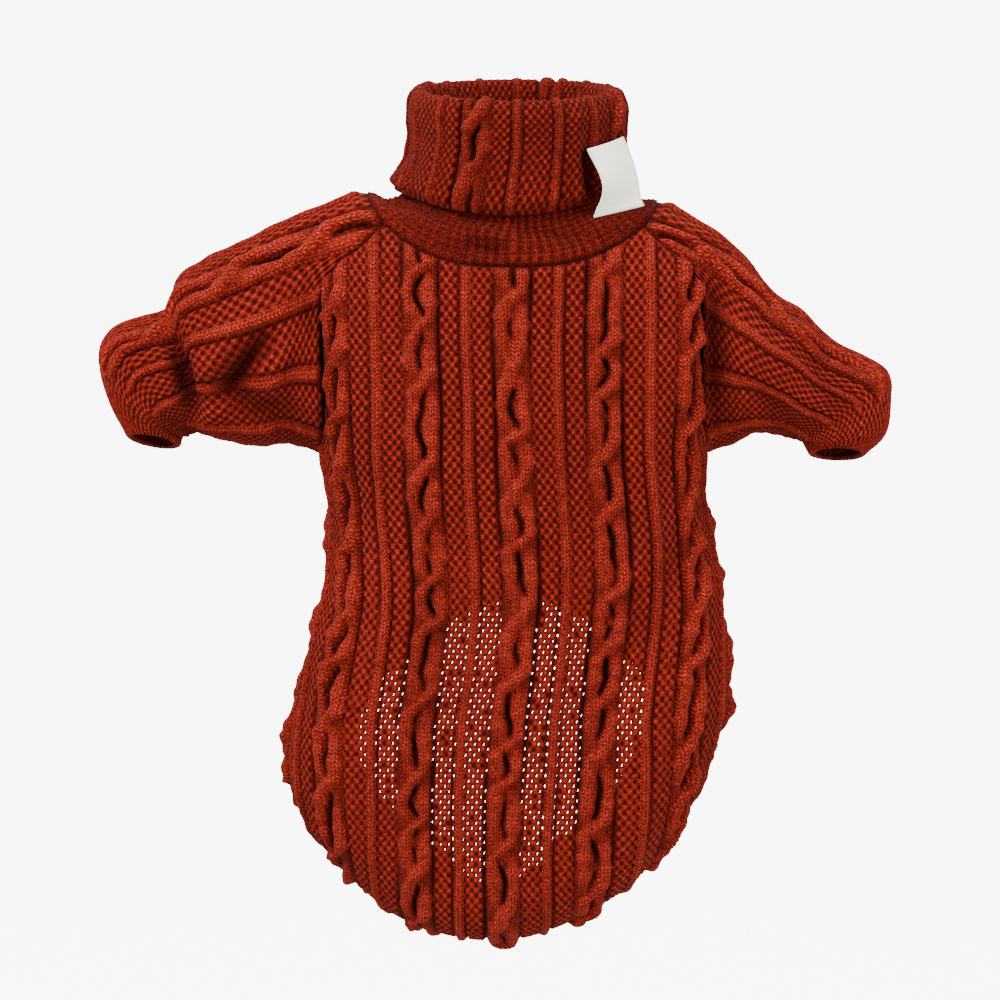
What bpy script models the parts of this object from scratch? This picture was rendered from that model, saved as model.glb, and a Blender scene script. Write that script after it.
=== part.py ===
"""Cable-knit dog sweater with a folded turtleneck, filled out as when it is worn.

Six sewn pieces: a back panel that runs on into a rounded tail, a shorter belly panel, two raglan
sleeves, a folded collar and a blank tape label.  Each is one closed wall of cloth: a plain inside, and
an outside raised by the knit's cables and ribs.  +Z is up to the neck, -Y is the side of the dog's back,
+X is the sweater's own right as it is seen from the back, and the origin is the middle of the neck
opening at the level of the neck seam on the back.
"""
import bpy
import numpy as np

MM = 0.001                 # every size below is in millimetres
WALL = 2.5                 # thickness of the knitted cloth without its relief
PATTERN_STEP = 0.2         # step over the flat pattern by which its normals are found
SEAM_GAP = 0.3             # clear space between two pieces at a seam
SEAM_STRETCH = 1.15        # how much longer the wall is along a mitred seam than along its normal
MITRE_LIMIT = 0.4          # keeps a sharp corner of a boundary from running far out
CREASE = 50.0              # edges bent by more than this are sharp, degrees

# Mitred seams of the shoulder lean out from a middle level: more at the armpit than above it
SEAM_LEVEL = -30.0
SEAM_RISE = 0.4
SEAM_LEAN = 0.12
SEAM_BLEND = (1.0, 0.8, 0.4)   # share of the seam's direction in the belly's columns next to it
ARMPIT_LEAN = 0.24
ARMPIT_LEAN_TOP = -50.0
ARMPIT_LEAN_RUN = 30.0

# Knit: one repeat is a cable, a strip of mesh, a rib and a strip of mesh
REPEAT = 39.6
CABLE_HALF = 9.0
CABLE_HEIGHT = 2.0
CABLE_TURN = 36.0          # length of one crossing of the two strands
CABLE_GROOVE = 0.7         # how much of the middle's height the groove between the strands takes
CABLE_GROOVE_WIDTH = 2.5
CABLE_EDGE = 0.5           # the cable's height fades out this far past its edge
CABLE_LEAN = 0.25          # how much higher one side is than the other where the strands cross
RIB_HALF = 2.6
RIB_HEIGHT = 1.1

# Torso: level sections.  Each half is straight from its middle and round at the side.
TORSO_COLUMNS = ("height", "middle", "half_width", "back_depth", "back_round", "belly_depth", "belly_round")
TORSO = (
    (30.0, 0.0, 69.0, 24.0, 20.0, 24.0, 20.0),
    (16.0, 0.0, 78.0, 33.0, 28.0, 33.0, 28.0),
    (5.0, 0.0, 86.0, 41.0, 35.0, 40.0, 35.0),
    (-8.0, 0.0, 91.5, 44.0, 39.0, 43.0, 39.0),
    (-30.0, 0.0, 94.0, 46.0, 42.0, 45.0, 42.0),
    (-58.0, 0.5, 91.5, 47.0, 43.0, 46.0, 42.0),
    (-80.0, 0.6, 85.4, 47.0, 42.0, 46.0, 40.0),
    (-95.0, 1.6, 84.2, 47.0, 41.0, 46.0, 39.0),
    (-120.0, 4.0, 86.0, 47.0, 41.0, 45.0, 36.0),
    (-142.0, 4.8, 88.0, 46.0, 40.0, 44.0, 33.0),
    (-165.0, 3.0, 92.0, 44.0, 39.0, 42.0, 30.0),
    (-195.0, 0.0, 96.0, 42.0, 38.0, 40.0, 27.0),
)
TAIL_TOP = -195.0          # below this height the sections fan out about one point
# Tail: reach of the silhouette from that point, by angle from straight down
TAIL_COLUMNS = ("angle", "left_reach", "right_reach", "round")
TAIL = (
    (0.0, 105.0, 105.0, 31.0),
    (15.0, 106.5, 100.0, 31.5),
    (30.0, 107.0, 96.0, 33.0),
    (45.0, 104.5, 93.0, 34.5),
    (60.0, 105.5, 91.5, 36.0),
    (75.0, 103.5, 91.5, 37.5),
    (90.0, 96.5, 95.5, 38.0),
)
TAIL_WRAP = 42.0           # cloth from the silhouette round to the hem, on the belly's side
TAIL_CORNER = 88.5         # angle of the hem's first point below the side seam, degrees
HEM_STEPS = 200            # places at which the hem is measured
FAN = 100.0                # any distance from the fan's point: a direction fixes the section there
JUST_BELOW = 0.01
SMALL = 1e-6

# Neck seam, on the torso's surface: low in the middle of the back, high on the shoulders
NECK_LOW = 3.0
NECK_HIGH = 30.0
NECK_TILT = 2.0            # how much higher than that the left shoulder is, and lower the right one
NECK_HALF = 66.0
NECK_POWER = 2.9
NECK_ROUND = 0.62          # depth of the neck opening as a share of its width
NECK_PASSES = 12           # steps in which a place on the neck seam is found

# Raglan seam, from the neck seam to the armpit: distance from the panel's middle line, by height
RAGLAN_COLUMNS = ("height", "back", "belly")
RAGLAN = (
    (11.4, 65.4, 65.4),
    (5.3, 75.3, 75.3),
    (0.0, 81.5, 81.5),
    (-3.0, 83.7, 83.7),
    (-8.0, 86.6, 86.6),
    (-16.0, 88.0, 88.0),
    (-45.0, 88.5, 88.3),
    (-58.0, 89.6, 89.2),
    (-66.0, 91.5, 90.8),
    (-73.0, 96.0, 94.0),
    (-77.8, 103.5, 98.5),
)
RAGLAN_TOP_ROWS = 4        # rows of that table along the panel's top edge
ARMPIT_HEIGHT = -80.0
RAGLAN_TURN = 83.7         # where the raglan seam turns from a panel's top edge into its side edge
RAGLAN_ROWS = 9

# Side seam: distance past the silhouette, round on the belly's side, by height
SIDE_COLUMNS = ("height", "past_silhouette")
SIDE = (
    (-80.0, 4.0),
    (-110.0, 11.0),
    (-150.0, 27.0),
    (-190.0, 44.0),
)
SIDE_ROWS = 11
HEM_ROWS = 14
BELLY_HEM_MIDDLE = -151.0  # height of the belly hem's arch

# Columns of the panels: the edges and the middles of ribs and cables
NECK_COLUMNS = (0.0, 4.5, 9.0, 17.2, 19.8, 22.4, 30.6, 35.1, 39.6, 44.1, 48.6, 56.8)
RAGLAN_TOP_COLUMNS = (59.4, 62.0, 70.2, 74.7, 79.2, RAGLAN_TURN)
WRAP_STRIPS = 4            # strips from the last column to the side seam or the hem
SHOULDER_STRIPS = 10       # strips of a sleeve's head along the neck seam

# Sleeves: sections through two points of the outline and the half depth towards the back and belly.
# The last ones turn down to the open cuff, whose back edge is lifted.
SLEEVE_COLUMNS = ("top_x", "top_z", "under_x", "under_z", "half_depth", "back_lift")
LEFT_SLEEVE = (
    (-96.0, 22.0, -97.5, -77.5, 26.5, 0.0),
    (-120.0, 10.5, -110.0, -78.5, 30.0, 0.0),
    (-135.0, 3.0, -123.0, -76.5, 29.0, 0.0),
    (-145.0, -4.0, -132.0, -74.0, 27.0, 0.0),
    (-149.5, -17.0, -136.5, -73.0, 24.5, 0.0),
    (-162.5, -21.5, -139.0, -73.0, 25.5, 0.0),
    (-175.5, -27.0, -141.5, -73.5, 26.5, 0.0),
    (-180.5, -40.0, -143.5, -74.5, 26.0, 1.0),
    (-177.5, -56.0, -144.5, -75.5, 24.0, 3.0),
    (-170.0, -73.0, -145.0, -77.5, 21.5, 5.0),
)
RIGHT_SLEEVE = (
    (92.0, 13.0, 98.5, -76.5, 26.0, 0.0),
    (103.0, 2.0, 104.5, -73.5, 29.0, 0.0),
    (112.0, -9.5, 110.5, -72.5, 29.0, 0.0),
    (126.0, -19.0, 116.5, -73.5, 27.5, 0.0),
    (140.0, -31.5, 121.0, -74.5, 26.5, 0.0),
    (154.0, -39.0, 123.5, -75.0, 26.0, 0.0),
    (165.0, -46.0, 125.5, -76.0, 25.5, 0.0),
    (166.5, -59.0, 127.0, -77.0, 25.0, 1.0),
    (164.5, -72.5, 128.0, -78.5, 23.0, 3.0),
    (156.5, -81.0, 129.5, -80.5, 20.5, 5.0),
)
SLEEVE_ROWS = (0.0, 0.4, 1.0, 1.6, 2.3, 3.0, 4.0, 5.0, 6.0, 7.0, 8.0, 9.0, 10.0)
SLEEVE_EVEN_RING = 4       # from this ring on, a sleeve's columns are evenly spaced
SLEEVE_CABLE_EVERY = 8     # columns of a sleeve from one cable to the next
SLEEVE_FIRST_CABLE = 3
SLEEVE_FULLNESS = 0.9      # below 1 the sections are fuller than an ellipse

# Collar: rings of the face that starts inside the neck, goes up, rolls over the rim and comes down
# outside.  Heights are given at the middle of the back and at the sides.
COLLAR_COLUMNS = ("half_width", "half_depth", "back_height", "side_height", "middle")
COLLAR = (
    (56.5, 37.0, 11.5, 28.0, 0.5),
    (47.0, 32.5, 20.0, 31.0, 1.0),
    (40.0, 29.5, 30.0, 37.0, 1.5),
    (38.5, 29.0, 48.0, 50.0, 2.0),
    (38.5, 29.0, 66.0, 66.0, 2.0),
    (38.7, 29.2, 75.5, 76.0, 2.0),
    (40.2, 30.7, 79.2, 79.7, 2.0),
    (42.9, 33.4, 80.6, 81.1, 2.0),
    (45.6, 36.1, 79.2, 79.7, 2.0),
    (47.0, 37.5, 75.5, 76.0, 2.0),
    (47.3, 37.8, 58.0, 58.0, 2.0),
    (48.5, 38.8, 42.0, 45.0, 0.5),
    (50.5, 40.5, 27.0, 36.0, -1.5),
)
COLLAR_EVEN_RING = 3       # from this ring on, the collar's columns are evenly spaced
COLLAR_FLARE_ROWS = 3      # rows of the flare, whose relief is on the outside
COLLAR_FOLD_ROW = 8        # from this row on, the relief is on the other face
COLLAR_FOLD_RISE = 2.0     # rows over which that relief rises
COLLAR_REPEAT = 8          # columns of the collar from one cable to the next
COLLAR_FIRST_CABLE = 4

# Label: a tape sewn along its top edge to the folded collar; its lower end stands off
LABEL_WALL = 1.2
LABEL_STRIPS = 6
LABEL_TOP_ANGLES = (39.0, 72.0)       # round the collar from the middle of the back, degrees
LABEL_TOP_HEIGHTS = (52.5, 57.5)
LABEL_LOW_CORNERS = ((35.5, -45.0, 22.5), (57.5, -25.0, 27.5))
LABEL_BULGE = 2.0
LABEL_CLEAR = 2.05         # clear of the collar's raised cables
LABEL_RING = -3            # the collar's ring to which the label's top edge is sewn

RUST = (0.33, 0.035, 0.012)
CREAM = (0.93, 0.91, 0.84)
CLOTH_ROUGHNESS = 0.95


def column(rows, names, name):
    """One named column of a table."""
    return np.array([row[names.index(name)] for row in rows])


def smooth(at, places, values):
    """A curve through table rows: cubic between neighbours, with the slope of their neighbours."""
    order = np.argsort(places)
    places = places[order]
    values = values[order]
    slopes = np.gradient(values, places)
    at = np.clip(at, places[0], places[-1])
    low = np.clip(np.searchsorted(places, at, side="right") - 1, 0, len(places) - 2)
    step = places[low + 1] - places[low]
    t = (at - places[low]) / step
    start = (2 * t**3 - 3 * t**2 + 1) * values[low] + (t**3 - 2 * t**2 + t) * step * slopes[low]
    end = (3 * t**2 - 2 * t**3) * values[low + 1] + (t**3 - t**2) * step * slopes[low + 1]
    return start + end


def unit(vectors):
    """Vectors at length one."""
    return vectors / np.maximum(np.linalg.norm(vectors, axis=-1, keepdims=True), SMALL)


def half_section(reach, depth, radius):
    """Slope of the straight run, its length, and the length from the middle to the silhouette."""
    flat = reach - radius
    span = np.hypot(flat, depth)
    slope = np.arctan2(depth, flat) - np.arcsin(radius / span)
    straight = np.sqrt(span**2 - radius**2)
    return slope, straight, straight + radius * (np.pi / 2 - slope)


def torso_shape(across, height):
    """Sizes of the inside of the section on which each point of the flat pattern lies."""
    level = np.maximum(height, TAIL_TOP)
    places = column(TORSO, TORSO_COLUMNS, "height")
    shape = {name: smooth(level, places, column(TORSO, TORSO_COLUMNS, name)) for name in TORSO_COLUMNS[1:]}
    below = np.maximum(TAIL_TOP - height, 0.0)
    angle = np.where(height < TAIL_TOP, np.degrees(np.arctan2(np.abs(across), below + SMALL)), 90.0)
    angles = column(TAIL, TAIL_COLUMNS, "angle")
    left = smooth(angle, angles, column(TAIL, TAIL_COLUMNS, "left_reach"))
    right = smooth(angle, angles, column(TAIL, TAIL_COLUMNS, "right_reach"))
    tail_round = smooth(angle, angles, column(TAIL, TAIL_COLUMNS, "round"))
    in_tail = height < TAIL_TOP
    shape["angle"] = np.radians(angle)
    shape["reach"] = np.where(in_tail, np.where(across < 0, left, right), shape["half_width"]) - WALL
    shape["back_round"] = np.where(in_tail, tail_round, shape["back_round"]) - WALL
    for name in ("back_depth", "belly_depth", "belly_round"):
        shape[name] = shape[name] - WALL
    return shape


def torso(across, height):
    """Point on the inside of the torso: across is measured along the cloth from the middle of the back,
    height is level above the tail and measured along the cloth on it."""
    across, height = np.broadcast_arrays(np.asarray(across, float), np.asarray(height, float))
    shape = torso_shape(across, height)
    reach = shape["reach"]
    radius = shape["back_round"]
    slope, straight, side = half_section(reach, shape["back_depth"], radius)
    far_radius = shape["belly_round"]
    far_slope, far_straight, far_side = half_section(reach, shape["belly_depth"], far_radius)
    run = np.where(height < TAIL_TOP, np.hypot(across, TAIL_TOP - height), np.abs(across))

    turned = slope + (run - straight) / radius
    past = run - side
    far_turned = past / far_radius
    far_left = far_side - past
    out = np.select(
        [run < straight, run < side, far_turned < np.pi / 2 - far_slope],
        [run * np.cos(slope), reach - radius + radius * np.sin(turned),
         reach - far_radius + far_radius * np.cos(far_turned)],
        far_left * np.cos(far_slope))
    depth = np.select(
        [run < straight, run < side, far_turned < np.pi / 2 - far_slope],
        [run * np.sin(slope) - shape["back_depth"], -radius * np.cos(turned),
         far_radius * np.sin(far_turned)],
        shape["belly_depth"] - far_left * np.sin(far_slope))
    side_sign = np.where(across < 0, -1.0, 1.0)
    x = shape["middle"] + side_sign * out * np.sin(shape["angle"])
    z = np.where(height < TAIL_TOP, TAIL_TOP - out * np.cos(shape["angle"]), height)
    return np.stack([x, depth, z], axis=-1)


def silhouette(side_sign, height):
    """Length along the cloth from the middle of the back to the silhouette, and all of the half."""
    shape = torso_shape(np.asarray(side_sign * FAN), np.asarray(height))
    near = half_section(shape["reach"], shape["back_depth"], shape["back_round"])[2]
    far = half_section(shape["reach"], shape["belly_depth"], shape["belly_round"])[2]
    return near, near + far


def belly(across, height):
    """Point on the inside of the torso, across being measured from the middle of the belly."""
    sign = np.where(across < 0, -1.0, 1.0)
    whole = silhouette(sign, height)[1]
    return torso(sign * (whole - np.abs(across)), height)


def normals(surface, across, height):
    """Outward normals of a surface over its flat pattern."""
    along = surface(across + PATTERN_STEP, height) - surface(across - PATTERN_STEP, height)
    up = surface(across, height + PATTERN_STEP) - surface(across, height - PATTERN_STEP)
    outward = -1.0 if surface is belly else 1.0
    return outward * unit(np.cross(along, up))


def seam_direction(points):
    """Direction of the wall at a seam of the shoulder, between the faces of the pieces that meet."""
    level = points[..., 2]
    share = np.clip((ARMPIT_LEAN_TOP - level) / ARMPIT_LEAN_RUN, 0.0, 1.0)
    lean = SEAM_LEAN + (ARMPIT_LEAN - SEAM_LEAN) * share
    spread = np.stack([points[..., 0] * lean, points[..., 1], (level - SEAM_LEVEL) * SEAM_RISE], axis=-1)
    return unit(spread)


def neck_point(surface, across):
    """Height of the neck seam on a panel, at a distance from the panel's middle."""
    height = np.full(np.shape(across), NECK_LOW)
    for _ in range(NECK_PASSES):
        share = surface(across, height)[..., 0] / NECK_HALF
        rise = NECK_HIGH - NECK_TILT * share - NECK_LOW
        height = NECK_LOW + rise * np.abs(share) ** NECK_POWER
    return height


def raglan_top(surface, across):
    """Height of the raglan seam along a panel's top edge, from the neck seam outwards."""
    start = neck_point(surface, np.array([NECK_COLUMNS[-1]]))[0]
    rows = RAGLAN[:RAGLAN_TOP_ROWS]
    heights = np.append(start, column(rows, RAGLAN_COLUMNS, "height"))
    places = np.append(NECK_COLUMNS[-1], column(rows, RAGLAN_COLUMNS, "back"))
    return smooth(np.abs(across), places, heights)


def raglan_side(name, sign):
    """Points of the flat pattern down the steep part of the raglan seam to the armpit."""
    near, whole = silhouette(sign, ARMPIT_HEIGHT)
    past = SIDE[0][1]
    last = near + past if name == "back" else whole - near - past
    rows = RAGLAN[RAGLAN_TOP_ROWS - 1:]
    across = np.append(column(rows, RAGLAN_COLUMNS, name), last)
    height = np.append(column(rows, RAGLAN_COLUMNS, "height"), ARMPIT_HEIGHT)
    length = np.append(0.0, np.cumsum(np.hypot(np.diff(across), np.diff(height))))
    at = np.linspace(0.0, length[-1], RAGLAN_ROWS + 1)
    return np.interp(at, length, across), np.interp(at, length, height)


def side_seam(name, sign):
    """Points of the flat pattern down the side seam, below the armpit."""
    height = np.linspace(ARMPIT_HEIGHT, SIDE[-1][0], SIDE_ROWS + 1)[1:]
    past = smooth(height, column(SIDE, SIDE_COLUMNS, "height"), column(SIDE, SIDE_COLUMNS, "past_silhouette"))
    near, whole = silhouette(sign, height)
    return (near + past if name == "back" else whole - near - past), height


def tail_hem(sign, angle):
    """Point of the flat pattern on the tail's hem, by angle from straight down."""
    below = TAIL_TOP - FAN * np.cos(angle) - JUST_BELOW
    shape = torso_shape(sign * (FAN * np.sin(angle) + SMALL), below)
    radius = half_section(shape["reach"], shape["back_depth"], shape["back_round"])[2] + TAIL_WRAP
    return radius * np.sin(angle), TAIL_TOP - radius * np.cos(angle)


def hem_angle(sign, across):
    """Angle at which the tail's hem is a given distance from the middle line."""
    angles = np.linspace(0.0, np.pi / 2, HEM_STEPS)
    places = np.array([float(tail_hem(sign, angle)[0]) for angle in angles])
    return np.interp(across, places, angles)


def cable(offset, along):
    """Height of a cable at an offset from its middle: two strands that swap sides at each crossing."""
    turn = 2 * np.pi * along / CABLE_TURN
    body = np.sqrt(np.clip(1.0 - (offset / (CABLE_HALF + CABLE_EDGE)) ** 2, 0.0, 1.0))
    groove = CABLE_GROOVE * np.exp(-((offset / CABLE_GROOVE_WIDTH) ** 2)) * (1.0 + np.cos(turn)) / 2
    lean = CABLE_LEAN * np.sin(turn) * offset / CABLE_HALF
    return CABLE_HEIGHT * np.where(np.abs(offset) < CABLE_HALF, body * (1.0 - groove + lean), 0.0)


def knit_relief(across, along):
    """Height of the knit above the plain cloth, over the flat pattern."""
    shift = (across + REPEAT / 2) % REPEAT - REPEAT / 2
    rib_shift = across % REPEAT - REPEAT / 2
    rib = RIB_HEIGHT * np.clip(1.0 - (rib_shift / RIB_HALF) ** 2, 0.0, 1.0)
    return cable(shift, along) + rib


def inset(points, directions, closed, amount):
    """Move a boundary sideways along the surface, towards the piece, by the same amount everywhere.

    The piece lies to the left of the boundary as it is walked with the directions pointing up."""
    before = np.roll(points, 1, axis=0)
    after = np.roll(points, -1, axis=0)
    enter = unit(points - before)
    leave = unit(after - points)
    if not closed:
        enter[0] = leave[0]
        leave[-1] = enter[-1]
    first = unit(np.cross(directions, enter))
    second = unit(np.cross(directions, leave))
    both = 1.0 + np.sum(first * second, axis=-1, keepdims=True)
    return points + amount * (first + second) / np.maximum(both, MITRE_LIMIT)


def add_object(name, vertices, faces, colour):
    """A smooth-shaded object with its own material."""
    mesh = bpy.data.meshes.new(name)
    mesh.from_pydata([tuple(v * MM) for v in vertices], [], faces)
    mesh.validate()
    item = bpy.data.objects.new(name, mesh)
    bpy.context.scene.collection.objects.link(item)
    material = bpy.data.materials.new(name + "_material")
    material.use_nodes = True
    shader = material.node_tree.nodes["Principled BSDF"]
    shader.inputs["Base Color"].default_value = (*colour, 1.0)
    shader.inputs["Roughness"].default_value = CLOTH_ROUGHNESS
    shader.inputs["Metallic"].default_value = 0.0
    mesh.materials.append(material)
    mesh.shade_smooth()
    mesh.set_sharp_from_angle(angle=np.radians(CREASE))
    return item


def edge_faces(outer_a, outer_b, inner_a, inner_b, points):
    """Two triangles across a wall's edge.  The diagonal starts inside at the higher end, so that two
    pieces that meet at a seam bend their edges alike."""
    if points[inner_a, 2] > points[inner_b, 2]:
        return [(outer_a, outer_b, inner_a), (outer_b, inner_b, inner_a)]
    return [(outer_a, outer_b, inner_b), (outer_a, inner_b, inner_a)]


def wall_faces(outer, inner, points, closed):
    """Faces of a wall from the numbers of its points: the outer face uses every column, the inner face
    every second one away from the first and last rows."""
    rows, columns = outer.shape
    faces = []
    steps = columns if closed else columns - 1
    for j in range(rows - 1):
        for i in range(steps):
            k = (i + 1) % columns
            faces.append((outer[j, i], outer[j + 1, i], outer[j + 1, k], outer[j, k]))
        for i in range(0, steps, 2):
            m = i + 1
            k = (i + 2) % columns
            if j == 0:
                faces.append((inner[0, m], inner[1, i], inner[0, i]))
                faces.append((inner[0, m], inner[1, k], inner[1, i]))
                faces.append((inner[0, k], inner[1, k], inner[0, m]))
            elif j == rows - 2:
                faces.append((inner[j + 1, i], inner[j, i], inner[j + 1, m]))
                faces.append((inner[j + 1, m], inner[j, i], inner[j, k]))
                faces.append((inner[j + 1, m], inner[j, k], inner[j + 1, k]))
            else:
                faces.append((inner[j, k], inner[j + 1, k], inner[j + 1, i], inner[j, i]))
    for i in range(steps):
        k = (i + 1) % columns
        faces += edge_faces(outer[0, i], outer[0, k], inner[0, i], inner[0, k], points)
        faces += edge_faces(outer[-1, k], outer[-1, i], inner[-1, k], inner[-1, i], points)
    if not closed:
        for j in range(rows - 1):
            faces += edge_faces(outer[j + 1, 0], outer[j, 0], inner[j + 1, 0], inner[j, 0], points)
            faces += edge_faces(outer[j, -1], outer[j + 1, -1], inner[j, -1], inner[j + 1, -1], points)
    return faces


def tidy_faces(faces):
    """Faces without repeated corners, and without those that have shrunk to a line."""
    kept = []
    for face in faces:
        corners = [v for v, before in zip(face, face[-1:] + face[:-1]) if v != before]
        if len(set(corners)) > 2:
            kept.append(tuple(int(v) for v in corners))
    return kept


def add_wall(name, inner, thickness, relief, colour, closed=False, collapse=0):
    """A closed wall on a grid of inside points, with a thickness vector and a relief at each point.

    In the first and last rows, the given number of columns at each side shrink to one point."""
    rows, columns = inner.shape[:2]
    outer = inner + thickness + unit(thickness) * relief[..., None]
    ids = np.arange(rows * columns).reshape(rows, columns)
    if collapse:
        for j in (0, rows - 1):
            ids[j, :collapse] = ids[j, collapse]
            ids[j, columns - collapse:] = ids[j, columns - collapse - 1]
    both = np.concatenate([outer.reshape(-1, 3), inner.reshape(-1, 3)])
    faces = tidy_faces(wall_faces(ids, ids + rows * columns, both, closed))
    used = sorted({v for face in faces for v in face})
    place = {v: k for k, v in enumerate(used)}
    return add_object(name, both[used], [tuple(place[v] for v in face) for face in faces], colour)


def mirrored(columns):
    """Column places on both sides of the middle, from left to right."""
    return np.array([-c for c in columns[:0:-1]] + list(columns))


def seat_edges(inner, thickness, loop, closed):
    """Set the points of a boundary half a seam gap inside the piece."""
    rows, columns = zip(*loop)
    points = inner[rows, columns]
    moved = inset(points, unit(thickness[rows, columns]), closed, SEAM_GAP / 2)
    inner[rows, columns] = moved


def back_panel():
    """The back, from the neck and the raglan seams down to the tail's hem."""
    main = mirrored(NECK_COLUMNS + RAGLAN_TOP_COLUMNS)
    neck = np.abs(main) <= NECK_COLUMNS[-1]
    top = np.where(neck, neck_point(torso, main), raglan_top(torso, main))
    rows = RAGLAN_ROWS + SIDE_ROWS + HEM_ROWS
    share = np.linspace(0.0, 1.0, rows + 1)
    across = np.zeros((rows + 1, len(main) + 2 * WRAP_STRIPS))
    height = np.zeros_like(across)
    for i, place in enumerate(main):
        sign = -1.0 if place < 0 else 1.0
        low = tail_hem(sign, hem_angle(sign, abs(place)))[1]
        across[:, WRAP_STRIPS + i] = place
        height[:, WRAP_STRIPS + i] = top[i] + (low - top[i]) * share
    for sign, first in ((-1.0, WRAP_STRIPS), (1.0, WRAP_STRIPS + len(main) - 1)):
        upper, upper_height = raglan_side("back", sign)
        seam, seam_height = side_seam("back", sign)
        turns = np.linspace(np.radians(TAIL_CORNER), hem_angle(sign, RAGLAN_TURN), HEM_ROWS)
        hem = np.array([tail_hem(sign, turn) for turn in turns])
        edge = np.concatenate([upper, seam, hem[:, 0]])
        edge_height = np.concatenate([upper_height, seam_height, hem[:, 1]])
        for k in range(1, WRAP_STRIPS + 1):
            part = k / WRAP_STRIPS
            i = first + int(sign) * k
            across[:, i] = across[:, first] * (1 - part) + sign * edge * part
            height[:, i] = height[:, first] * (1 - part) + edge_height * part
    inner = torso(across, height)
    facing = normals(torso, across, height)
    thickness = facing * WALL
    last = across.shape[1] - 1
    shoulder = seam_direction(inner) * WALL * SEAM_STRETCH
    thickness[0, :] = shoulder[0, :]
    for k in range(WRAP_STRIPS):
        part = 1.0 - k / WRAP_STRIPS
        for i in (k, last - k):
            by_seam = thickness[: RAGLAN_ROWS + 1, i]
            thickness[: RAGLAN_ROWS + 1, i] = by_seam * (1 - part) + shoulder[: RAGLAN_ROWS + 1, i] * part
    loop = [(0, i) for i in range(last - WRAP_STRIPS, WRAP_STRIPS - 1, -1)]
    loop += [(j, 0) for j in range(1, rows)]
    loop += [(rows, i) for i in range(WRAP_STRIPS, last - WRAP_STRIPS + 1)]
    loop += [(j, last) for j in range(rows - 1, 0, -1)]
    seat_edges(inner, thickness, loop, True)
    return add_wall("back_panel", inner, thickness, knit_relief(across, height), RUST, collapse=WRAP_STRIPS)


def belly_panel():
    """The belly, from the neck and the raglan seams down to its arched hem."""
    main = mirrored(NECK_COLUMNS + RAGLAN_TOP_COLUMNS)
    neck = np.abs(main) <= NECK_COLUMNS[-1]
    top = np.where(neck, neck_point(belly, main), raglan_top(belly, main))
    across = np.zeros((RAGLAN_ROWS + SIDE_ROWS + 1, len(main)))
    height = np.zeros_like(across)
    for i, place in enumerate(main):
        sign = -1.0 if place < 0 else 1.0
        upper, upper_height = raglan_side("belly", sign)
        seam, seam_height = side_seam("belly", sign)
        edge = np.concatenate([upper, seam])
        edge_height = np.concatenate([upper_height, seam_height])
        share = (edge_height - edge_height[0]) / (edge_height[-1] - edge_height[0])
        low = edge_height[-1] + (BELLY_HEM_MIDDLE - edge_height[-1]) * (1 - (abs(place) / RAGLAN_TURN) ** 2)
        across[:, i] = place * edge / RAGLAN_TURN
        height[:, i] = top[i] + (low - top[i]) * share
    inner = belly(across, height)
    facing = normals(belly, across, height)
    thickness = facing * WALL
    shoulder = seam_direction(inner) * WALL * SEAM_STRETCH
    thickness[0, :] = shoulder[0, :]
    last = across.shape[1] - 1
    for k, part in enumerate(SEAM_BLEND):
        for i in (k, last - k):
            by_seam = thickness[: RAGLAN_ROWS + 1, i]
            thickness[: RAGLAN_ROWS + 1, i] = by_seam * (1 - part) + shoulder[: RAGLAN_ROWS + 1, i] * part
    rows = len(across) - 1
    loop = [(0, i) for i in range(last + 1)]
    loop += [(j, last) for j in range(1, rows + 1)]
    loop += [(rows, i) for i in range(last - 1, -1, -1)]
    loop += [(j, 0) for j in range(rows - 1, 0, -1)]
    seat_edges(inner, thickness, loop, True)
    relief = knit_relief(np.broadcast_to(main, across.shape), height)
    order = slice(None, None, -1)
    return add_wall("belly_panel", inner[:, order], thickness[:, order], relief[:, order], RUST)


def shoulder_edge(sign):
    """Points of the neck seam between a sleeve's two raglan seams, from the back to the belly."""
    back = torso(sign * NECK_COLUMNS[-1], neck_point(torso, np.array([sign * NECK_COLUMNS[-1]]))[0])
    front = belly(sign * NECK_COLUMNS[-1], neck_point(belly, np.array([sign * NECK_COLUMNS[-1]]))[0])
    share = np.linspace(0.0, 1.0, SHOULDER_STRIPS + 1)
    turn = np.pi * (share - 0.5)
    reach = NECK_HALF - WALL - abs(back[0])
    x = back[0] + (front[0] - back[0]) * share + sign * reach * np.cos(turn)
    y = back[1] + (front[1] - back[1]) * (0.5 + 0.5 * np.sin(turn))
    rise = NECK_HIGH - sign * NECK_TILT - back[2]
    z = back[2] + (front[2] - back[2]) * share + rise * np.cos(turn)
    return np.stack([x, y, z], axis=-1)


def raglan_edge(surface, name, sign):
    """Points of a whole raglan seam on the torso, from the neck seam to the armpit."""
    places = np.array((NECK_COLUMNS[-1],) + RAGLAN_TOP_COLUMNS[:-1])
    heights = np.append(neck_point(surface, sign * places[:1]), raglan_top(surface, places[1:]))
    steep, steep_height = raglan_side(name, sign)
    return surface(sign * np.append(places, steep), np.append(heights, steep_height))


def armhole(sign):
    """Closed ring of the armhole: over the shoulder, down the belly side, and up the back side."""
    over = shoulder_edge(sign)
    front = raglan_edge(belly, "belly", sign)
    back = raglan_edge(torso, "back", sign)
    return np.concatenate([over[:-1], front[:-1], back[:0:-1]])


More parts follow.
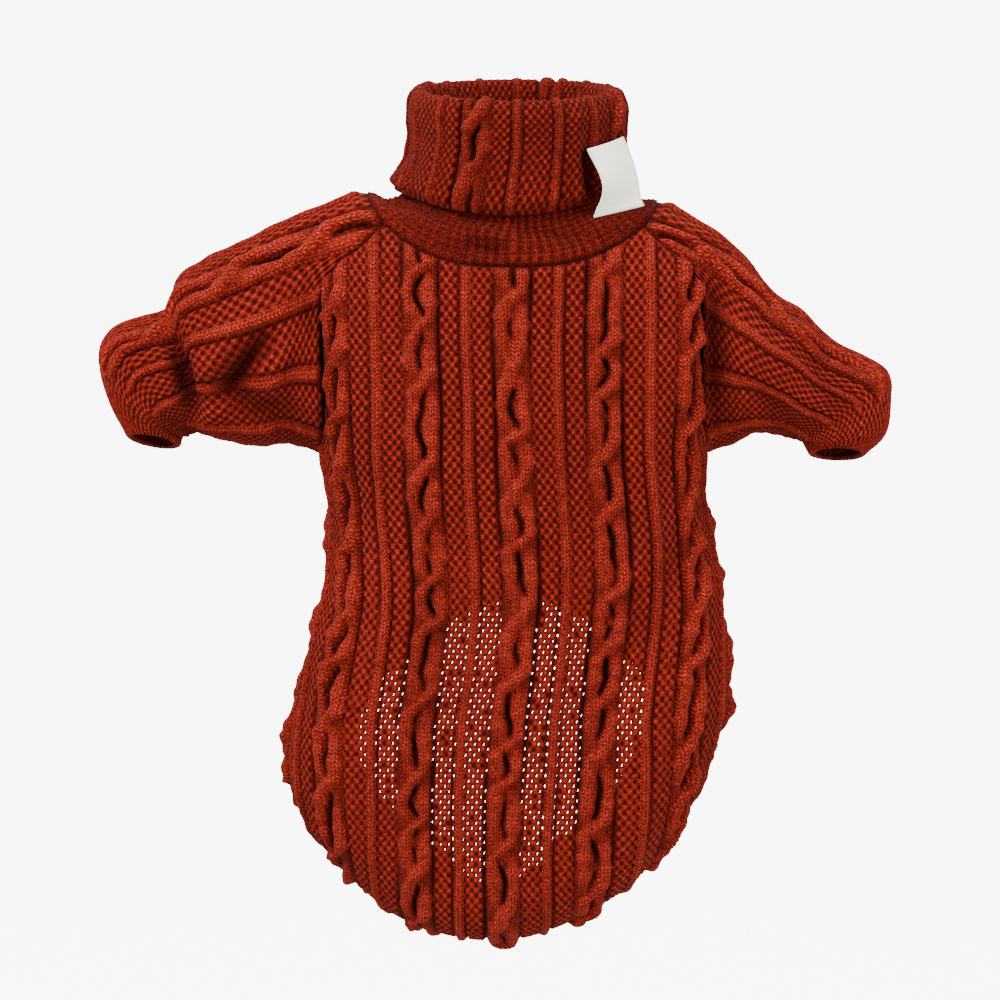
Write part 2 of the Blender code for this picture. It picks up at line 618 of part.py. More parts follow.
def sleeve(name, sign, sections):
    """A tube from the armhole ring through its sections to the open cuff."""
    root = armhole(sign)
    count = len(root)
    even = (np.arange(count) - SHOULDER_STRIPS / 2) * 2 * np.pi / count
    top_level = root[:, 2].max()
    low_level = root[:, 2].min()
    level = (2 * root[:, 2] - top_level - low_level) / (top_level - low_level)
    turn = np.arccos(np.clip(level, -1.0, 1.0))
    at_seam = np.where(even > np.pi, 2 * np.pi - turn, turn)
    head = np.arange(SHOULDER_STRIPS + 1)
    at_seam[head] = at_seam[SHOULDER_STRIPS] * (head / (SHOULDER_STRIPS / 2) - 1.0)
    rings = [root]
    for k, row in enumerate(sections):
        blend = max(0.0, 1.0 - k / SLEEVE_EVEN_RING)
        angles = at_seam * blend + even * (1.0 - blend)
        get = dict(zip(SLEEVE_COLUMNS, row))
        top = np.array([get["top_x"], 0.0, get["top_z"]])
        under = np.array([get["under_x"], 0.0, get["under_z"]])
        middle = (top + under) / 2
        half = (top - under) / 2
        half = half * (1 - WALL / np.linalg.norm(half))
        ring = middle + half * np.cos(angles)[:, None]
        swing = np.sin(angles)
        ring[:, 1] += (get["half_depth"] - WALL) * np.sign(swing) * np.abs(swing) ** SLEEVE_FULLNESS
        ring[:, 2] -= get["back_lift"] * swing
        rings.append(ring)
    rings = np.array(rings)
    slopes = np.gradient(rings, axis=0)
    inner = np.zeros((len(SLEEVE_ROWS), count, 3))
    for j, at in enumerate(SLEEVE_ROWS):
        low = min(int(at), len(rings) - 2)
        t = at - low
        start_part = (2 * t**3 - 3 * t**2 + 1) * rings[low] + (t**3 - 2 * t**2 + t) * slopes[low]
        end_part = (3 * t**2 - 2 * t**3) * rings[low + 1] + (t**3 - t**2) * slopes[low + 1]
        inner[j] = start_part + end_part
    around = np.roll(inner, -1, axis=1) - np.roll(inner, 1, axis=1)
    along = np.gradient(inner, axis=0)
    facing = unit(np.cross(around, along))
    middle = inner.mean(axis=1, keepdims=True)
    facing *= np.sign(np.sum(facing * (inner - middle), axis=-1).mean())
    thickness = facing * WALL
    thickness[0] = seam_direction(root) * WALL * SEAM_STRETCH
    walk = list(range(count)) if sign < 0 else list(range(count - 1, -1, -1))
    seat_edges(inner, thickness, [(0, i) for i in walk], True)
    index = np.arange(count)
    near = (index - SHOULDER_STRIPS // 2 + SLEEVE_FIRST_CABLE) % SLEEVE_CABLE_EVERY
    offset = (near + SLEEVE_CABLE_EVERY // 2) % SLEEVE_CABLE_EVERY - SLEEVE_CABLE_EVERY // 2
    travelled = np.cumsum(np.append(0.0, np.linalg.norm(np.diff(middle[:, 0], axis=0), axis=1)))
    relief = cable(offset[None, :] * CABLE_HALF / 2, travelled[:, None])
    relief = relief + RIB_HEIGHT * (np.abs(offset) == SLEEVE_CABLE_EVERY // 2)[None, :]
    order = slice(None) if sign > 0 else slice(None, None, -1)
    return add_wall(name, inner[:, order], thickness[:, order], relief[:, order], RUST, closed=True)


def neck_ring():
    """Closed ring of the neck seam: back, right shoulder, belly, left shoulder."""
    places = mirrored(NECK_COLUMNS)
    back = torso(places, neck_point(torso, places))
    front = belly(places[::-1], neck_point(belly, places[::-1]))
    right = shoulder_edge(1.0)
    left = shoulder_edge(-1.0)[::-1]
    ring = np.concatenate([back[:-1], right[:-1], front[:-1], left[:-1]])
    return np.roll(ring, -(len(NECK_COLUMNS) - 1), axis=0)


def collar_ring(angle, row):
    """Points of one ring of the collar, by angle from the middle of the back."""
    get = dict(zip(COLLAR_COLUMNS, row))
    x = get["middle"] + get["half_width"] * np.sin(angle)
    y = -get["half_depth"] * np.cos(angle)
    z = get["back_height"] + (get["side_height"] - get["back_height"]) * np.sin(angle) ** 2
    return np.stack([x, y, z], axis=-1)


def collar():
    """The neck piece: flare, inner tube, rolled rim and folded outer layer, in one wall."""
    base = neck_ring()
    count = len(base)
    even = np.linspace(0.0, 2 * np.pi, count, endpoint=False)
    at_seam = np.unwrap(np.arctan2(base[:, 0] / NECK_HALF, -base[:, 1] / (NECK_ROUND * NECK_HALF)))
    rings = [base]
    for k, row in enumerate(COLLAR):
        blend = max(0.0, 1.0 - (k + 1) / COLLAR_EVEN_RING)
        rings.append(collar_ring(at_seam * blend + even * (1 - blend), row))
    inner = np.array(rings)
    around = np.roll(inner, -1, axis=1) - np.roll(inner, 1, axis=1)
    along = np.gradient(inner, axis=0)
    facing = unit(np.cross(around, along))
    thickness = facing * WALL
    thickness[0] = seam_direction(base) * WALL * SEAM_STRETCH
    seat_edges(inner, thickness, [(0, i) for i in range(count)], True)
    index = np.arange(count)
    offset = (index - COLLAR_FIRST_CABLE + COLLAR_REPEAT // 2) % COLLAR_REPEAT - COLLAR_REPEAT // 2
    travelled = np.cumsum(np.append(0.0, np.linalg.norm(np.diff(inner[:, 0], axis=0), axis=1)))
    relief = cable(offset[None, :] * CABLE_HALF / 2, travelled[:, None])
    relief = relief + RIB_HEIGHT * (np.abs(offset) == COLLAR_REPEAT // 2)[None, :]
    rows = np.arange(len(inner))[:, None]
    folded = relief * np.clip((rows - COLLAR_FOLD_ROW) / COLLAR_FOLD_RISE, 0.0, 1.0)
    flare = relief * (rows < COLLAR_FLARE_ROWS)
    # The face that starts inside the neck is the one seen on the folded layer
    visible = inner - unit(thickness) * folded[..., None]
    hidden = thickness + unit(thickness) * (folded + flare)[..., None]
    return add_wall("collar", visible + hidden, -hidden, np.zeros(relief.shape), RUST, closed=True)


def label():
    """The blank tape: its top edge follows the folded collar, its lower end stands off."""
    share = np.linspace(0.0, 1.0, LABEL_STRIPS + 1)
    angle = np.radians(LABEL_TOP_ANGLES[0] + (LABEL_TOP_ANGLES[1] - LABEL_TOP_ANGLES[0]) * share)
    row = COLLAR[LABEL_RING]
    top = collar_ring(angle, row)
    top[:, 2] = LABEL_TOP_HEIGHTS[0] + (LABEL_TOP_HEIGHTS[1] - LABEL_TOP_HEIGHTS[0]) * share
    outward = unit(np.stack([np.sin(angle) / row[0], -np.cos(angle) / row[1], 0.0 * angle], axis=-1))
    top = top + outward * LABEL_CLEAR
    left, right = (np.array(corner) for corner in LABEL_LOW_CORNERS)
    low = left + (right - left) * share[:, None]
    down = share[:, None, None]
    sheet = top[None] * (1 - down) + low[None] * down
    sheet = sheet + outward[None] * (LABEL_BULGE * np.sin(np.pi * share))[:, None, None]
    across = np.gradient(sheet, axis=1)
    along = np.gradient(sheet, axis=0)
    facing = unit(np.cross(along, across))
    return add_wall("label", sheet, facing * LABEL_WALL, np.zeros(sheet.shape[:2]), CREAM)


def main():
    """Clear the scene and build the six pieces."""
    for item in list(bpy.data.objects):
        bpy.data.objects.remove(item, do_unlink=True)
    back_panel()
    belly_panel()
    sleeve("sleeve_left", -1.0, LEFT_SLEEVE)
    sleeve("sleeve_right", 1.0, RIGHT_SLEEVE)
    collar()
    label()


main()
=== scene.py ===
"""Looks of the cable-knit dog sweater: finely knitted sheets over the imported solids.

Each knitted piece is a grid of cells laid over the same surface as its solid.  Two columns of cells hold
one column of the net's eyelets and four rows hold one eyelet's pitch, so that an open eyelet is a missing
cell and the cables, ribs and net are shaped in the grid's own points.  Sizes of the garment are in
millimetres; cuts, lights and camera are in metres.
"""

import bpy
import numpy as np
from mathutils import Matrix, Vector


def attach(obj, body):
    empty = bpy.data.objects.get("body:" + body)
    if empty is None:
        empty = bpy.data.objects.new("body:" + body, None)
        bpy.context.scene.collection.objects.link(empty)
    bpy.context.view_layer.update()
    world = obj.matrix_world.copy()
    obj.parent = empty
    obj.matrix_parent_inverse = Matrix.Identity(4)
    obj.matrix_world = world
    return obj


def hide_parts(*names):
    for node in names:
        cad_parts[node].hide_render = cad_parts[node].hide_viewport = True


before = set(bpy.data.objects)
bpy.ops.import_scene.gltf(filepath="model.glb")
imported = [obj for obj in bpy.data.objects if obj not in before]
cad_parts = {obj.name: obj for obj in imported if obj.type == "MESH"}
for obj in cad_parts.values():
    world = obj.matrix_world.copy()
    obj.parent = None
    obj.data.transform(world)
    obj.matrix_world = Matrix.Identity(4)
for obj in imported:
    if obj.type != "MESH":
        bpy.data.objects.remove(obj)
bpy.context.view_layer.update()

MM = 0.001
WALL = 2.5                 # thickness of the cloth's solid
SMALL = 1e-6

# Torso: level sections.  Each half is straight from its middle and round at the side.
TORSO_COLUMNS = ("height", "middle", "half_width", "back_depth", "back_round", "belly_depth", "belly_round")
TORSO = (
    (30.0, 0.0, 69.0, 24.0, 20.0, 24.0, 20.0),
    (16.0, 0.0, 78.0, 33.0, 28.0, 33.0, 28.0),
    (5.0, 0.0, 86.0, 41.0, 35.0, 40.0, 35.0),
    (-8.0, 0.0, 91.5, 44.0, 39.0, 43.0, 39.0),
    (-30.0, 0.0, 94.0, 46.0, 42.0, 45.0, 42.0),
    (-58.0, 0.5, 91.5, 47.0, 43.0, 46.0, 42.0),
    (-80.0, 0.6, 85.4, 47.0, 42.0, 46.0, 40.0),
    (-95.0, 1.6, 84.2, 47.0, 41.0, 46.0, 39.0),
    (-120.0, 4.0, 86.0, 47.0, 41.0, 45.0, 36.0),
    (-142.0, 4.8, 88.0, 46.0, 40.0, 44.0, 33.0),
    (-165.0, 3.0, 92.0, 44.0, 39.0, 42.0, 30.0),
    (-195.0, 0.0, 96.0, 42.0, 38.0, 40.0, 27.0),
)
TAIL_TOP = -195.0          # below this height the sections fan out about one point
TAIL_COLUMNS = ("angle", "left_reach", "right_reach", "round")
TAIL = (
    (0.0, 105.0, 105.0, 31.0),
    (15.0, 106.5, 100.0, 31.5),
    (30.0, 107.0, 96.0, 33.0),
    (45.0, 104.5, 93.0, 34.5),
    (60.0, 105.5, 91.5, 36.0),
    (75.0, 103.5, 91.5, 37.5),
    (90.0, 96.5, 95.5, 38.0),
)
TAIL_WRAP = 42.0           # cloth from the silhouette round to the hem, on the belly's side
FAN = 100.0                # any distance from the fan's point: a direction fixes the section there

# Neck seam, raglan seams and side seams on the torso's flat pattern
NECK_LOW = 3.0
NECK_HIGH = 30.0
NECK_TILT = 2.0            # how much lower its right end lies
NECK_HALF = 66.0
NECK_POWER = 2.9           # how sharply it rises towards its ends
NECK_ROUND = 0.62          # depth of its ring, as a share of the width
NECK_PASSES = 12
NECK_END = 56.8            # where the neck seam meets the raglan seam
NECK_POINTS = 200
SHOULDER_POINTS = 60
ARMHOLE_POINTS = 80
RAGLAN_COLUMNS = ("height", "back", "belly")
RAGLAN = (
    (11.4, 65.4, 65.4),
    (5.3, 75.3, 75.3),
    (0.0, 81.5, 81.5),
    (-3.0, 83.7, 83.7),
    (-8.0, 86.6, 86.6),
    (-16.0, 88.0, 88.0),
    (-45.0, 88.5, 88.3),
    (-58.0, 89.6, 89.2),
    (-66.0, 91.5, 90.8),
    (-73.0, 96.0, 94.0),
    (-77.8, 103.5, 98.5),
)
RAGLAN_TOP_ROWS = 4
RAGLAN_TURN = 83.7
ARMPIT_HEIGHT = -80.0
SIDE_COLUMNS = ("height", "past_silhouette")
SIDE = ((-80.0, 4.0), (-110.0, 11.0), (-150.0, 27.0), (-190.0, 44.0))
BELLY_HEM_MIDDLE = -151.0

# Sleeves: sections through two points of the outline
SLEEVE_COLUMNS = ("top_x", "top_z", "under_x", "under_z", "half_depth", "back_lift")
LEFT_SLEEVE = (
    (-96.0, 22.0, -97.5, -77.5, 26.5, 0.0),
    (-120.0, 10.5, -110.0, -78.5, 30.0, 0.0),
    (-135.0, 3.0, -123.0, -76.5, 29.0, 0.0),
    (-145.0, -4.0, -132.0, -74.0, 27.0, 0.0),
    (-149.5, -17.0, -136.5, -73.0, 24.5, 0.0),
    (-162.5, -21.5, -139.0, -73.0, 25.5, 0.0),
    (-175.5, -27.0, -141.5, -73.5, 26.5, 0.0),
    (-180.5, -40.0, -143.5, -74.5, 26.0, 1.0),
    (-177.5, -56.0, -144.5, -75.5, 24.0, 3.0),
    (-170.0, -73.0, -145.0, -77.5, 21.5, 5.0),
)
RIGHT_SLEEVE = (
    (92.0, 13.0, 98.5, -76.5, 26.0, 0.0),
    (103.0, 2.0, 104.5, -73.5, 29.0, 0.0),
    (112.0, -9.5, 110.5, -72.5, 29.0, 0.0),
    (126.0, -19.0, 116.5, -73.5, 27.5, 0.0),
    (140.0, -31.5, 121.0, -74.5, 26.5, 0.0),
    (154.0, -39.0, 123.5, -75.0, 26.0, 0.0),
    (165.0, -46.0, 125.5, -76.0, 25.5, 0.0),
    (166.5, -59.0, 127.0, -77.0, 25.0, 1.0),
    (164.5, -72.5, 128.0, -78.5, 23.0, 3.0),
    (156.5, -81.0, 129.5, -80.5, 20.5, 5.0),
)
SLEEVE_FULLNESS = 0.9
SLEEVE_REPEATS = 5
SLEEVE_PHASE = 20.0        # how far on a sleeve's cable is in its crossings
CUFF_NET = 16.0            # the last part of a sleeve that is all net
CUFF_BLEND = 8.0           # length over which it starts
CUFF_GROUND = 0.3

# Collar: rings of the face that starts inside the neck, goes up, rolls over the rim and comes down
COLLAR_COLUMNS = ("half_width", "half_depth", "back_height", "side_height", "middle")
COLLAR = (
    (56.5, 37.0, 11.5, 28.0, 0.5),
    (47.0, 32.5, 20.0, 31.0, 1.0),
    (40.0, 29.5, 30.0, 37.0, 1.5),
    (38.5, 29.0, 48.0, 50.0, 2.0),
    (38.5, 29.0, 66.0, 66.0, 2.0),
    (38.7, 29.2, 75.5, 76.0, 2.0),
    (40.2, 30.7, 79.2, 79.7, 2.0),
    (42.9, 33.4, 80.6, 81.1, 2.0),
    (45.6, 36.1, 79.2, 79.7, 2.0),
    (47.0, 37.5, 75.5, 76.0, 2.0),
    (47.3, 37.8, 58.0, 58.0, 2.0),
    (48.5, 38.8, 42.0, 45.0, 0.5),
    (50.5, 40.5, 27.0, 36.0, -1.5),
)
COLLAR_REPEATS = 8
COLLAR_EVERY = 2           # every second cable of the collar is a rib
COLLAR_PHASE = 8.0         # how far on the collar's cables are in their crossings
COLLAR_LOW_ROWS = 5        # rows of the flare, which face away from the neck
# Rings, counted from the neck seam, between which one part of the collar ends or starts
RAISED_END = (2.6, 4.2)    # the raised face of the flare
FLARE_END = (2.2, 3.4)     # the flare's fine ribs
FOLD_START = (5.5, 8.5)    # the folded layer, whose outside is the other side of the grid
COLLAR_RIM_RING = 8.0      # top of the rolled rim
COLLAR_RIM_WIDTH = 1.7     # in rings
COLLAR_RIM_FLAT = 0.5      # share of the relief that is lost there
COLLAR_SINK = 0.3          # the folded layer's ground lies this far inside the solid's outer face
COLLAR_SETTLE = 2.7        # how much lower the rim lies than the solid's
COLLAR_SETTLED = (40.0, 80.0)              # heights between which the lowering starts
COLLAR_TILT = 0.1          # and how much more of it for each millimetre towards the back
COLLAR_TUCK = 4.0          # length of the folded layer's edge that curls in
COLLAR_CURL = 0.98         # how nearly that curl is a quarter of a circle
COLLAR_PAINTED_SHADE = 0.68         # painted shade: share of the tone that the whole collar keeps
COLLAR_LEVEL = 0.85        # share of the neck seam's ridge that is missing at the sides

# Grid of the knit: cells across and down, and what lies where in one repeat
CELLS = 42                 # cells of one repeat: cable, net, rib and net
REPEAT = 39.6
CELL = REPEAT / CELLS
ROW = 1.2
FLARE_RIB = REPEAT / 10    # spacing of the flare's fine ribs
FLARE_COURSE = 2.4         # and of the courses across them
FLARE_RIB_HEIGHT = 0.4
FLARE_COURSE_HEIGHT = 0.3
FLARE_NET = 0.35           # share of net on the flare
EYELET_PITCH = 4           # rows from one eyelet to the next below it
EYELET_FIRST = 8           # every second cell from here to the last holds eyelets, by a cable
EYELET_LAST = 18
NET_START = 8.0            # cells from a cable's middle to the net
NET_END = 19.0             # cells from a cable's middle to the rib
CABLE_TURN = 27.0          # length of one crossing of the two strands
CABLE_SHIFT = 13.0         # how much farther on each cable is in its crossings than the one before
CABLE_HEIGHT = 4.1
CABLE_GROUND = 0.3         # height of a cable's ground, beside its strands where they cross
CABLE_GAP = 3.8            # depth of the gap between two strands that lie side by side
GAP_DEPTH = 0.75           # share of that depth in the mean
GAP_HALF = 1.15
GAP_SLANT = 1.4            # how far the gap's ends lean to either side
GAP_TURN = 1.3             # how far on the lean is from each cable to the next
GAP_APART = (0.12, 0.65)   # how far the strands are apart where the gap starts and where it is whole
STRAND_SWING = 4.2         # how far each strand's middle swings to the side
STRAND_HALF = 3.5          # half the width of one strand
STRAND_EDGE = (-0.4, 1.0)  # from the strands' outermost reach, where a cable's ground starts
STRAND_TURN = 2.0          # how quickly a strand changes sides
STRAND_DIP = 0.4           # share of the height that a strand gains over the other and loses under it
STRAND_FULL = 2.2          # how full a strand's section is
STRAND_ROUND = 0.72        # and how round its sides are
GUTTER_DEPTH = 1.5         # gutter beside a cable
GUTTER_HALF = 0.9          # half its width, in cells
GUTTER_PAST = 0.3          # cells from the edge of a cable or rib to its gutter's middle
RIB_HEIGHT = 1.7
RIB_LOW = 0.9              # share of that height in the mean
RIB_HALF = CELLS / 2 - NET_END + 0.4       # half the width of a rib, in cells
RIB_GUTTER_DEPTH = 0.8
RIB_GUTTER_HALF = 0.7
NET_RELIEF = 0.42
# Waves over the flat pattern: amount, and lengths over 2 pi across and along
LUMPS = (0.35, 3.1, 4.7)   # unevenness of cables and ribs, times the crossed wave
CROSSED_LUMPS = (1.0, 5.3, -2.9)
LUMPS_START = (0.3, 1.5)   # relief between which lumps start
FLARE_SWAY = (0.9, 11.0, 4.0)
FLARE_UNEVEN = (0.2, 17.0, np.inf)
FLARE_NET_UNEVEN = (0.2, 14.0, 7.0)
WANDER = (0.5, 29.0, 17.0) # how far wales wander from straight lines
EYELET_SHARE_WAVE = (0.22, CELL / 1.9, ROW * 15)
# Waves along cables and ribs: amount, length over 2 pi, shift from each to the next, shift of its right side
TURN_WAVES = ((0.55, 19.0, 2.0, 0.0), (0.3, 7.7, 3.1, 0.0))
WOBBLE_WAVES = ((0.5, 5.1, 1.7, 0.0), (0.3, 2.4, 4.1, 0.0))
SIZE_WAVES = ((0.12, 1.35, 2.0, 1.6), (0.13, 4.3, 5.0, 2.2))
GAP_WAVES = ((0.6, 2.9, 2.6, 0.0),)
GAP_DEPTH_WAVES = ((0.35, 11.0, 2.1, 0.0),)
GUTTER_WAVES = ((1.2, 31.0, 2.3, 1.6),)
RIB_WAVES = ((0.1, 3.9, 1.0, 0.0),)
RIB_GUTTER_WAVES = ((0.8, 37.0, 1.9, 2.0),)

# Label
LABEL_TOP_ANGLES = (38.0, 68.0)            # ends of its top edge, round from the middle of the back
LABEL_TOP_HEIGHTS = (53.5, 58.0)
LABEL_LOW_CORNERS = ((34.5, -45.0, 25.0), (55.5, -26.0, 29.0))
LABEL_RING = -3            # ring of the collar's table that its top edge follows
LABEL_CLEAR = 2.6          # how far from that ring
LABEL_BULGE = 2.0
LABEL_FLICK = (1.6, 1.02, 0.09)            # how far its lower end turns up, from where, and how soon
LABEL_CURL = 4.6           # how far the middle of its left edge is pulled to the right
LABEL_CURL_LOW = 1.2       # above 1, the most of that is below the middle
LABEL_CURL_LEFT = 1.5      # how much it keeps to the left edge
LABEL_CURL_OUT = 0.7       # share of it by which the edge also stands out
LABEL_WIDTH = 25.0
LABEL_LENGTH = 33.0
LABEL_COLUMNS = 40
LABEL_ROWS = 56
LABEL_EDGE = 1.2           # width of its painted edge shade
LABEL_REACH = 0.3          # how far its rounded edge stands out
LABEL_WALL = 0.9

# How the sheets lie on their solids
SINK = 0.9                 # the knit's ground lies this far inside the solid's outer face
HEM_REACH = 1.3            # how far a hem's rounded edge stands out
HEM_RELIEF = 0.3           # share of the knit's relief that is left at a hem
HEM_FADE = 6.0             # width of the part that is flattened
HEM_DEPTH = 2.8            # thickness of a hem
SEAM_FADE = 4.0            # distance from a seam over which the relief starts
SEAM_GROOVE = (1.1, 0.0, 1.3)              # depth, distance from the seam, and width of a seam's groove
SEAM_RIDGE = (0.7, 3.0, 1.6)               # height, distance and width of the ridge beside it
NECK_GROOVE = (1.1, 0.0, 1.0)              # the same at the neck seam, on the flare
NECK_RIDGE = (1.3, 3.2, 1.7)
# The knit's tone is painted shade: darker in its hollows, seams and the troughs of creases.
SEAM_SHADE = 0.7           # painted shade: share of the tone lost in a seam's groove
SEAM_SHADE_WIDTH = 0.9
TROUGH_SHADE = 0.115       # painted shade: share of the tone lost for each millimetre of a crease's depth
TROUGH_DEEP = 8.0          # depth from which a crease gets no darker
TONE_LOW = -0.85           # relief at which the knit's painted shade is darkest
TONE_SPAN = 2.3            # and how much higher the lightest lies
PANEL_TOP = 28.8           # height of the first row of the torso's grids
BACK_GRID = (172, 312)     # columns of cells on each side of the middle, and rows
BELLY_GRID = (118, 184)
SLOPE_STEP = 0.2           # distance over which the torso's slope is taken
DRIFT = -5.0               # how far the wales of the back have drifted to the left at the hem
DRIFT_HEIGHTS = (80.0, 320.0)              # below the neck, where that starts and where it is whole
DRIFT_HALF = 90.0
EYELET_NARROW = 0.33       # how far each side of an eyelet moves in
EYELET_LEAN = 0.1          # how far its top moves to the right and its foot to the left
EYELET_STRETCH = -0.12     # how far its top moves up and its foot down: less than none, so both move in
EYELETS_OPEN = -120.0      # the back's eyelets are open below this height,
EYELETS_SIDE = 88.0        # up to this distance from its middle
EYELETS_HEM = 58.0         # and no nearer to the tail's hem than this; all others are pits
EYELET_SHARE = 0.84        # share of eyelets that fibres leave open, in the mean
EYELET_SEED = 7
SLEEVE_CABLE_ANGLE = np.radians(-40.0)     # first cable, round from the sleeve's top towards the back
COLLAR_CABLE_ANGLE = np.radians(-22.5)     # first cable, round from the middle of the back

# Creases: a line seen from the front, how wide and how high it is, and the side it lies on (-1 the back)
CREASE_COLUMNS = ("x0", "z0", "x1", "z1", "width", "rise", "side")
CREASE_SIDE = (-4.0, 8.0)  # distance to its side where a crease starts and where it is whole
CREASE_END = 0.35          # share of its rise that a crease has past its ends
CREASE_SPAN = (0.12, 0.88) # part of half a wave that the rise between its ends follows
CREASES = (
    (86.5, -13.0, 88.0, -64.0, 5.8, -6.8, -1.0),
    (-82.0, -20.0, -80.0, -72.0, 5.0, -2.5, -1.0),
    (-60.0, -90.0, -84.0, -120.0, 9.0, -2.0, -1.0),
    (84.0, -100.0, 60.0, -150.0, 10.0, -2.2, -1.0),
    (-30.0, -120.0, -40.0, -230.0, 12.0, -1.5, -1.0),
    (25.0, -60.0, 30.0, -190.0, 14.0, -1.3, -1.0),
    (60.0, -190.0, 48.0, -270.0, 10.0, 1.6, -1.0),
    (-84.0, -150.0, -70.0, -230.0, 9.0, 1.8, -1.0),
    (70.0, -20.0, 80.0, -75.0, 6.0, -3.0, 1.0),
    (-72.0, -15.0, -82.0, -72.0, 7.0, -3.4, 1.0),
    (-20.0, -40.0, -34.0, -150.0, 13.0, -1.8, 1.0),
    (34.0, -70.0, 20.0, -150.0, 11.0, -1.4, 1.0),
    (10.0, -20.0, 0.0, -90.0, 15.0, 1.5, 1.0),
)
LEFT_CREASES = (
    (-146.0, -34.0, -139.0, -60.0, 4.2, -9.0, -1.0),
    (-108.0, -30.0, -124.0, -50.0, 5.0, -10.0, -1.0),
    (-102.0, -62.0, -122.0, -54.0, 8.0, -6.5, -1.0),
    (-119.0, -26.0, -134.0, -46.0, 4.5, 4.0, -1.0),
    (-97.0, -32.0, -110.0, -56.0, 4.5, 3.4, -1.0),
    (-90.0, -12.0, -85.0, -25.0, 4.0, -2.5, -1.0),
    (-126.0, -58.0, -136.0, -66.0, 5.0, 2.6, -1.0),
    (-150.0, -66.0, -136.0, -72.0, 4.0, -3.0, -1.0),
    (-108.0, -22.0, -128.0, -52.0, 6.0, -3.6, 1.0),
    (-142.0, -30.0, -136.0, -58.0, 5.0, -4.0, 1.0),
    (-98.0, -44.0, -116.0, -66.0, 7.0, 2.2, 1.0),
)
RIGHT_CREASES = (
    (86.5, -13.0, 88.0, -64.0, 5.8, -6.8, -1.0),
    (104.0, -50.0, 122.0, -66.0, 5.0, -2.6, -1.0),
    (128.0, -38.0, 146.0, -62.0, 6.0, -2.4, -1.0),
    (112.0, -30.0, 130.0, -56.0, 7.0, 2.0, -1.0),
    (96.0, -22.0, 94.0, -60.0, 6.0, -3.2, 1.0),
    (118.0, -34.0, 136.0, -60.0, 6.0, -3.0, 1.0),
)
COLLAR_CREASES = (
    (-46.0, 60.0, -44.0, 34.0, 4.0, -2.0, -1.0),
    (-53.0, 43.0, -50.0, 34.0, 7.5, 4.4, -1.0),
    (28.5, 72.0, 30.5, 34.0, 2.8, 2.2, -1.0),
    (33.5, 52.0, 37.5, 22.0, 3.0, -6.0, -1.0),
    (30.0, 33.0, 33.0, 25.0, 3.6, 2.8, -1.0),
    (30.0, 66.0, 34.0, 34.0, 3.5, -1.6, -1.0),
    (-20.0, 58.0, -14.0, 30.0, 7.0, 1.2, -1.0),
    (-24.0, 70.0, -30.0, 34.0, 6.0, -1.8, 1.0),
    (20.0, 64.0, 26.0, 30.0, 7.0, -2.0, 1.0),
)
FLARE_CREASES = (
    (-50.0, 24.0, -24.0, 17.0, 3.0, 2.2, -1.0),
    (-20.0, 18.0, -5.0, 14.0, 2.8, 5.0, -1.0),
    (-19.0, 12.5, -5.0, 9.5, 2.2, -3.6, -1.0),
    (-2.0, 17.0, 4.0, 8.0, 2.4, 2.6, -1.0),
    (-34.0, 12.0, -20.0, 8.0, 3.0, -2.2, -1.0),
    (6.0, 18.0, 30.0, 15.0, 3.0, -2.4, -1.0),
    (33.0, 17.0, 50.0, 23.0, 3.5, 2.4, -1.0),
    (-20.0, 14.0, 16.0, 12.0, 4.0, -1.5, 1.0),
)

# Cuts of the flat pieces, width and length in metres
BACK_CUT = (0.31, 0.36)
BELLY_CUT = (0.21, 0.21)
SLEEVE_CUT = (0.2, 0.16)
COLLAR_CUT = (0.32, 0.2)

# Colours, light and camera
# The rust yarn in painted shade and lit, mixed by the knit's tone of painted shade.
SHADED_RUST = (0.040, 0.0015, 0.0009, 1.0)
LIGHT_RUST = (0.276, 0.0186, 0.0110, 1.0)
# Painted shade in the eyelets' middles, for the dark inside seen through them.
EYELET_SHADE_RUST = (0.028, 0.0008, 0.0004, 1.0)
STITCH_WALE = 2.64         # from one row of Vs to the next
STITCH_COURSE = 1.7        # from one V to the next
STITCH_SLANT = 1.6         # courses that a leg of a V rises in a whole wale
YARN_ROUND = 0.6           # how round the yarn's section is
STITCH_SHADE = (1.0, 0.42) # how heights of the stitches and of the net turn into painted shade and highlights
NET_SHADE = (0.6, 0.95)
NET_HEIGHT = 0.8           # height of a crossing of the net, as a share of a stitch's
HOLE_RANGE = (0.2, 0.7)    # wave of the net from the edge of an eyelet to its bottom
CROSSING_RANGE = (0.1, -0.9)
BROAD_FIBRES = 26.0        # scales of the fibres, waves to a metre
MIDDLE_FIBRES = 240.0
FINE_FIBRES = 900.0
FIBRE_DENT = 0.0006        # metres
STITCH_DENT = 0.0008
WEAVE_DENT = 0.0002
YARN_SHEEN = (1.0, 0.3, 0.2, 1.0)
CLOUD_SHADE = (0.5, 0.75)  # how a value of the fibres turns into shade: times the first, plus the second
FIBRE_SHADE = (3.6, -0.8)
HOLE_SHARE = 0.9           # share of the eyelets' painted shade colour at their middles
TAPE_CREAM = (0.98, 0.95, 0.82, 1.0)
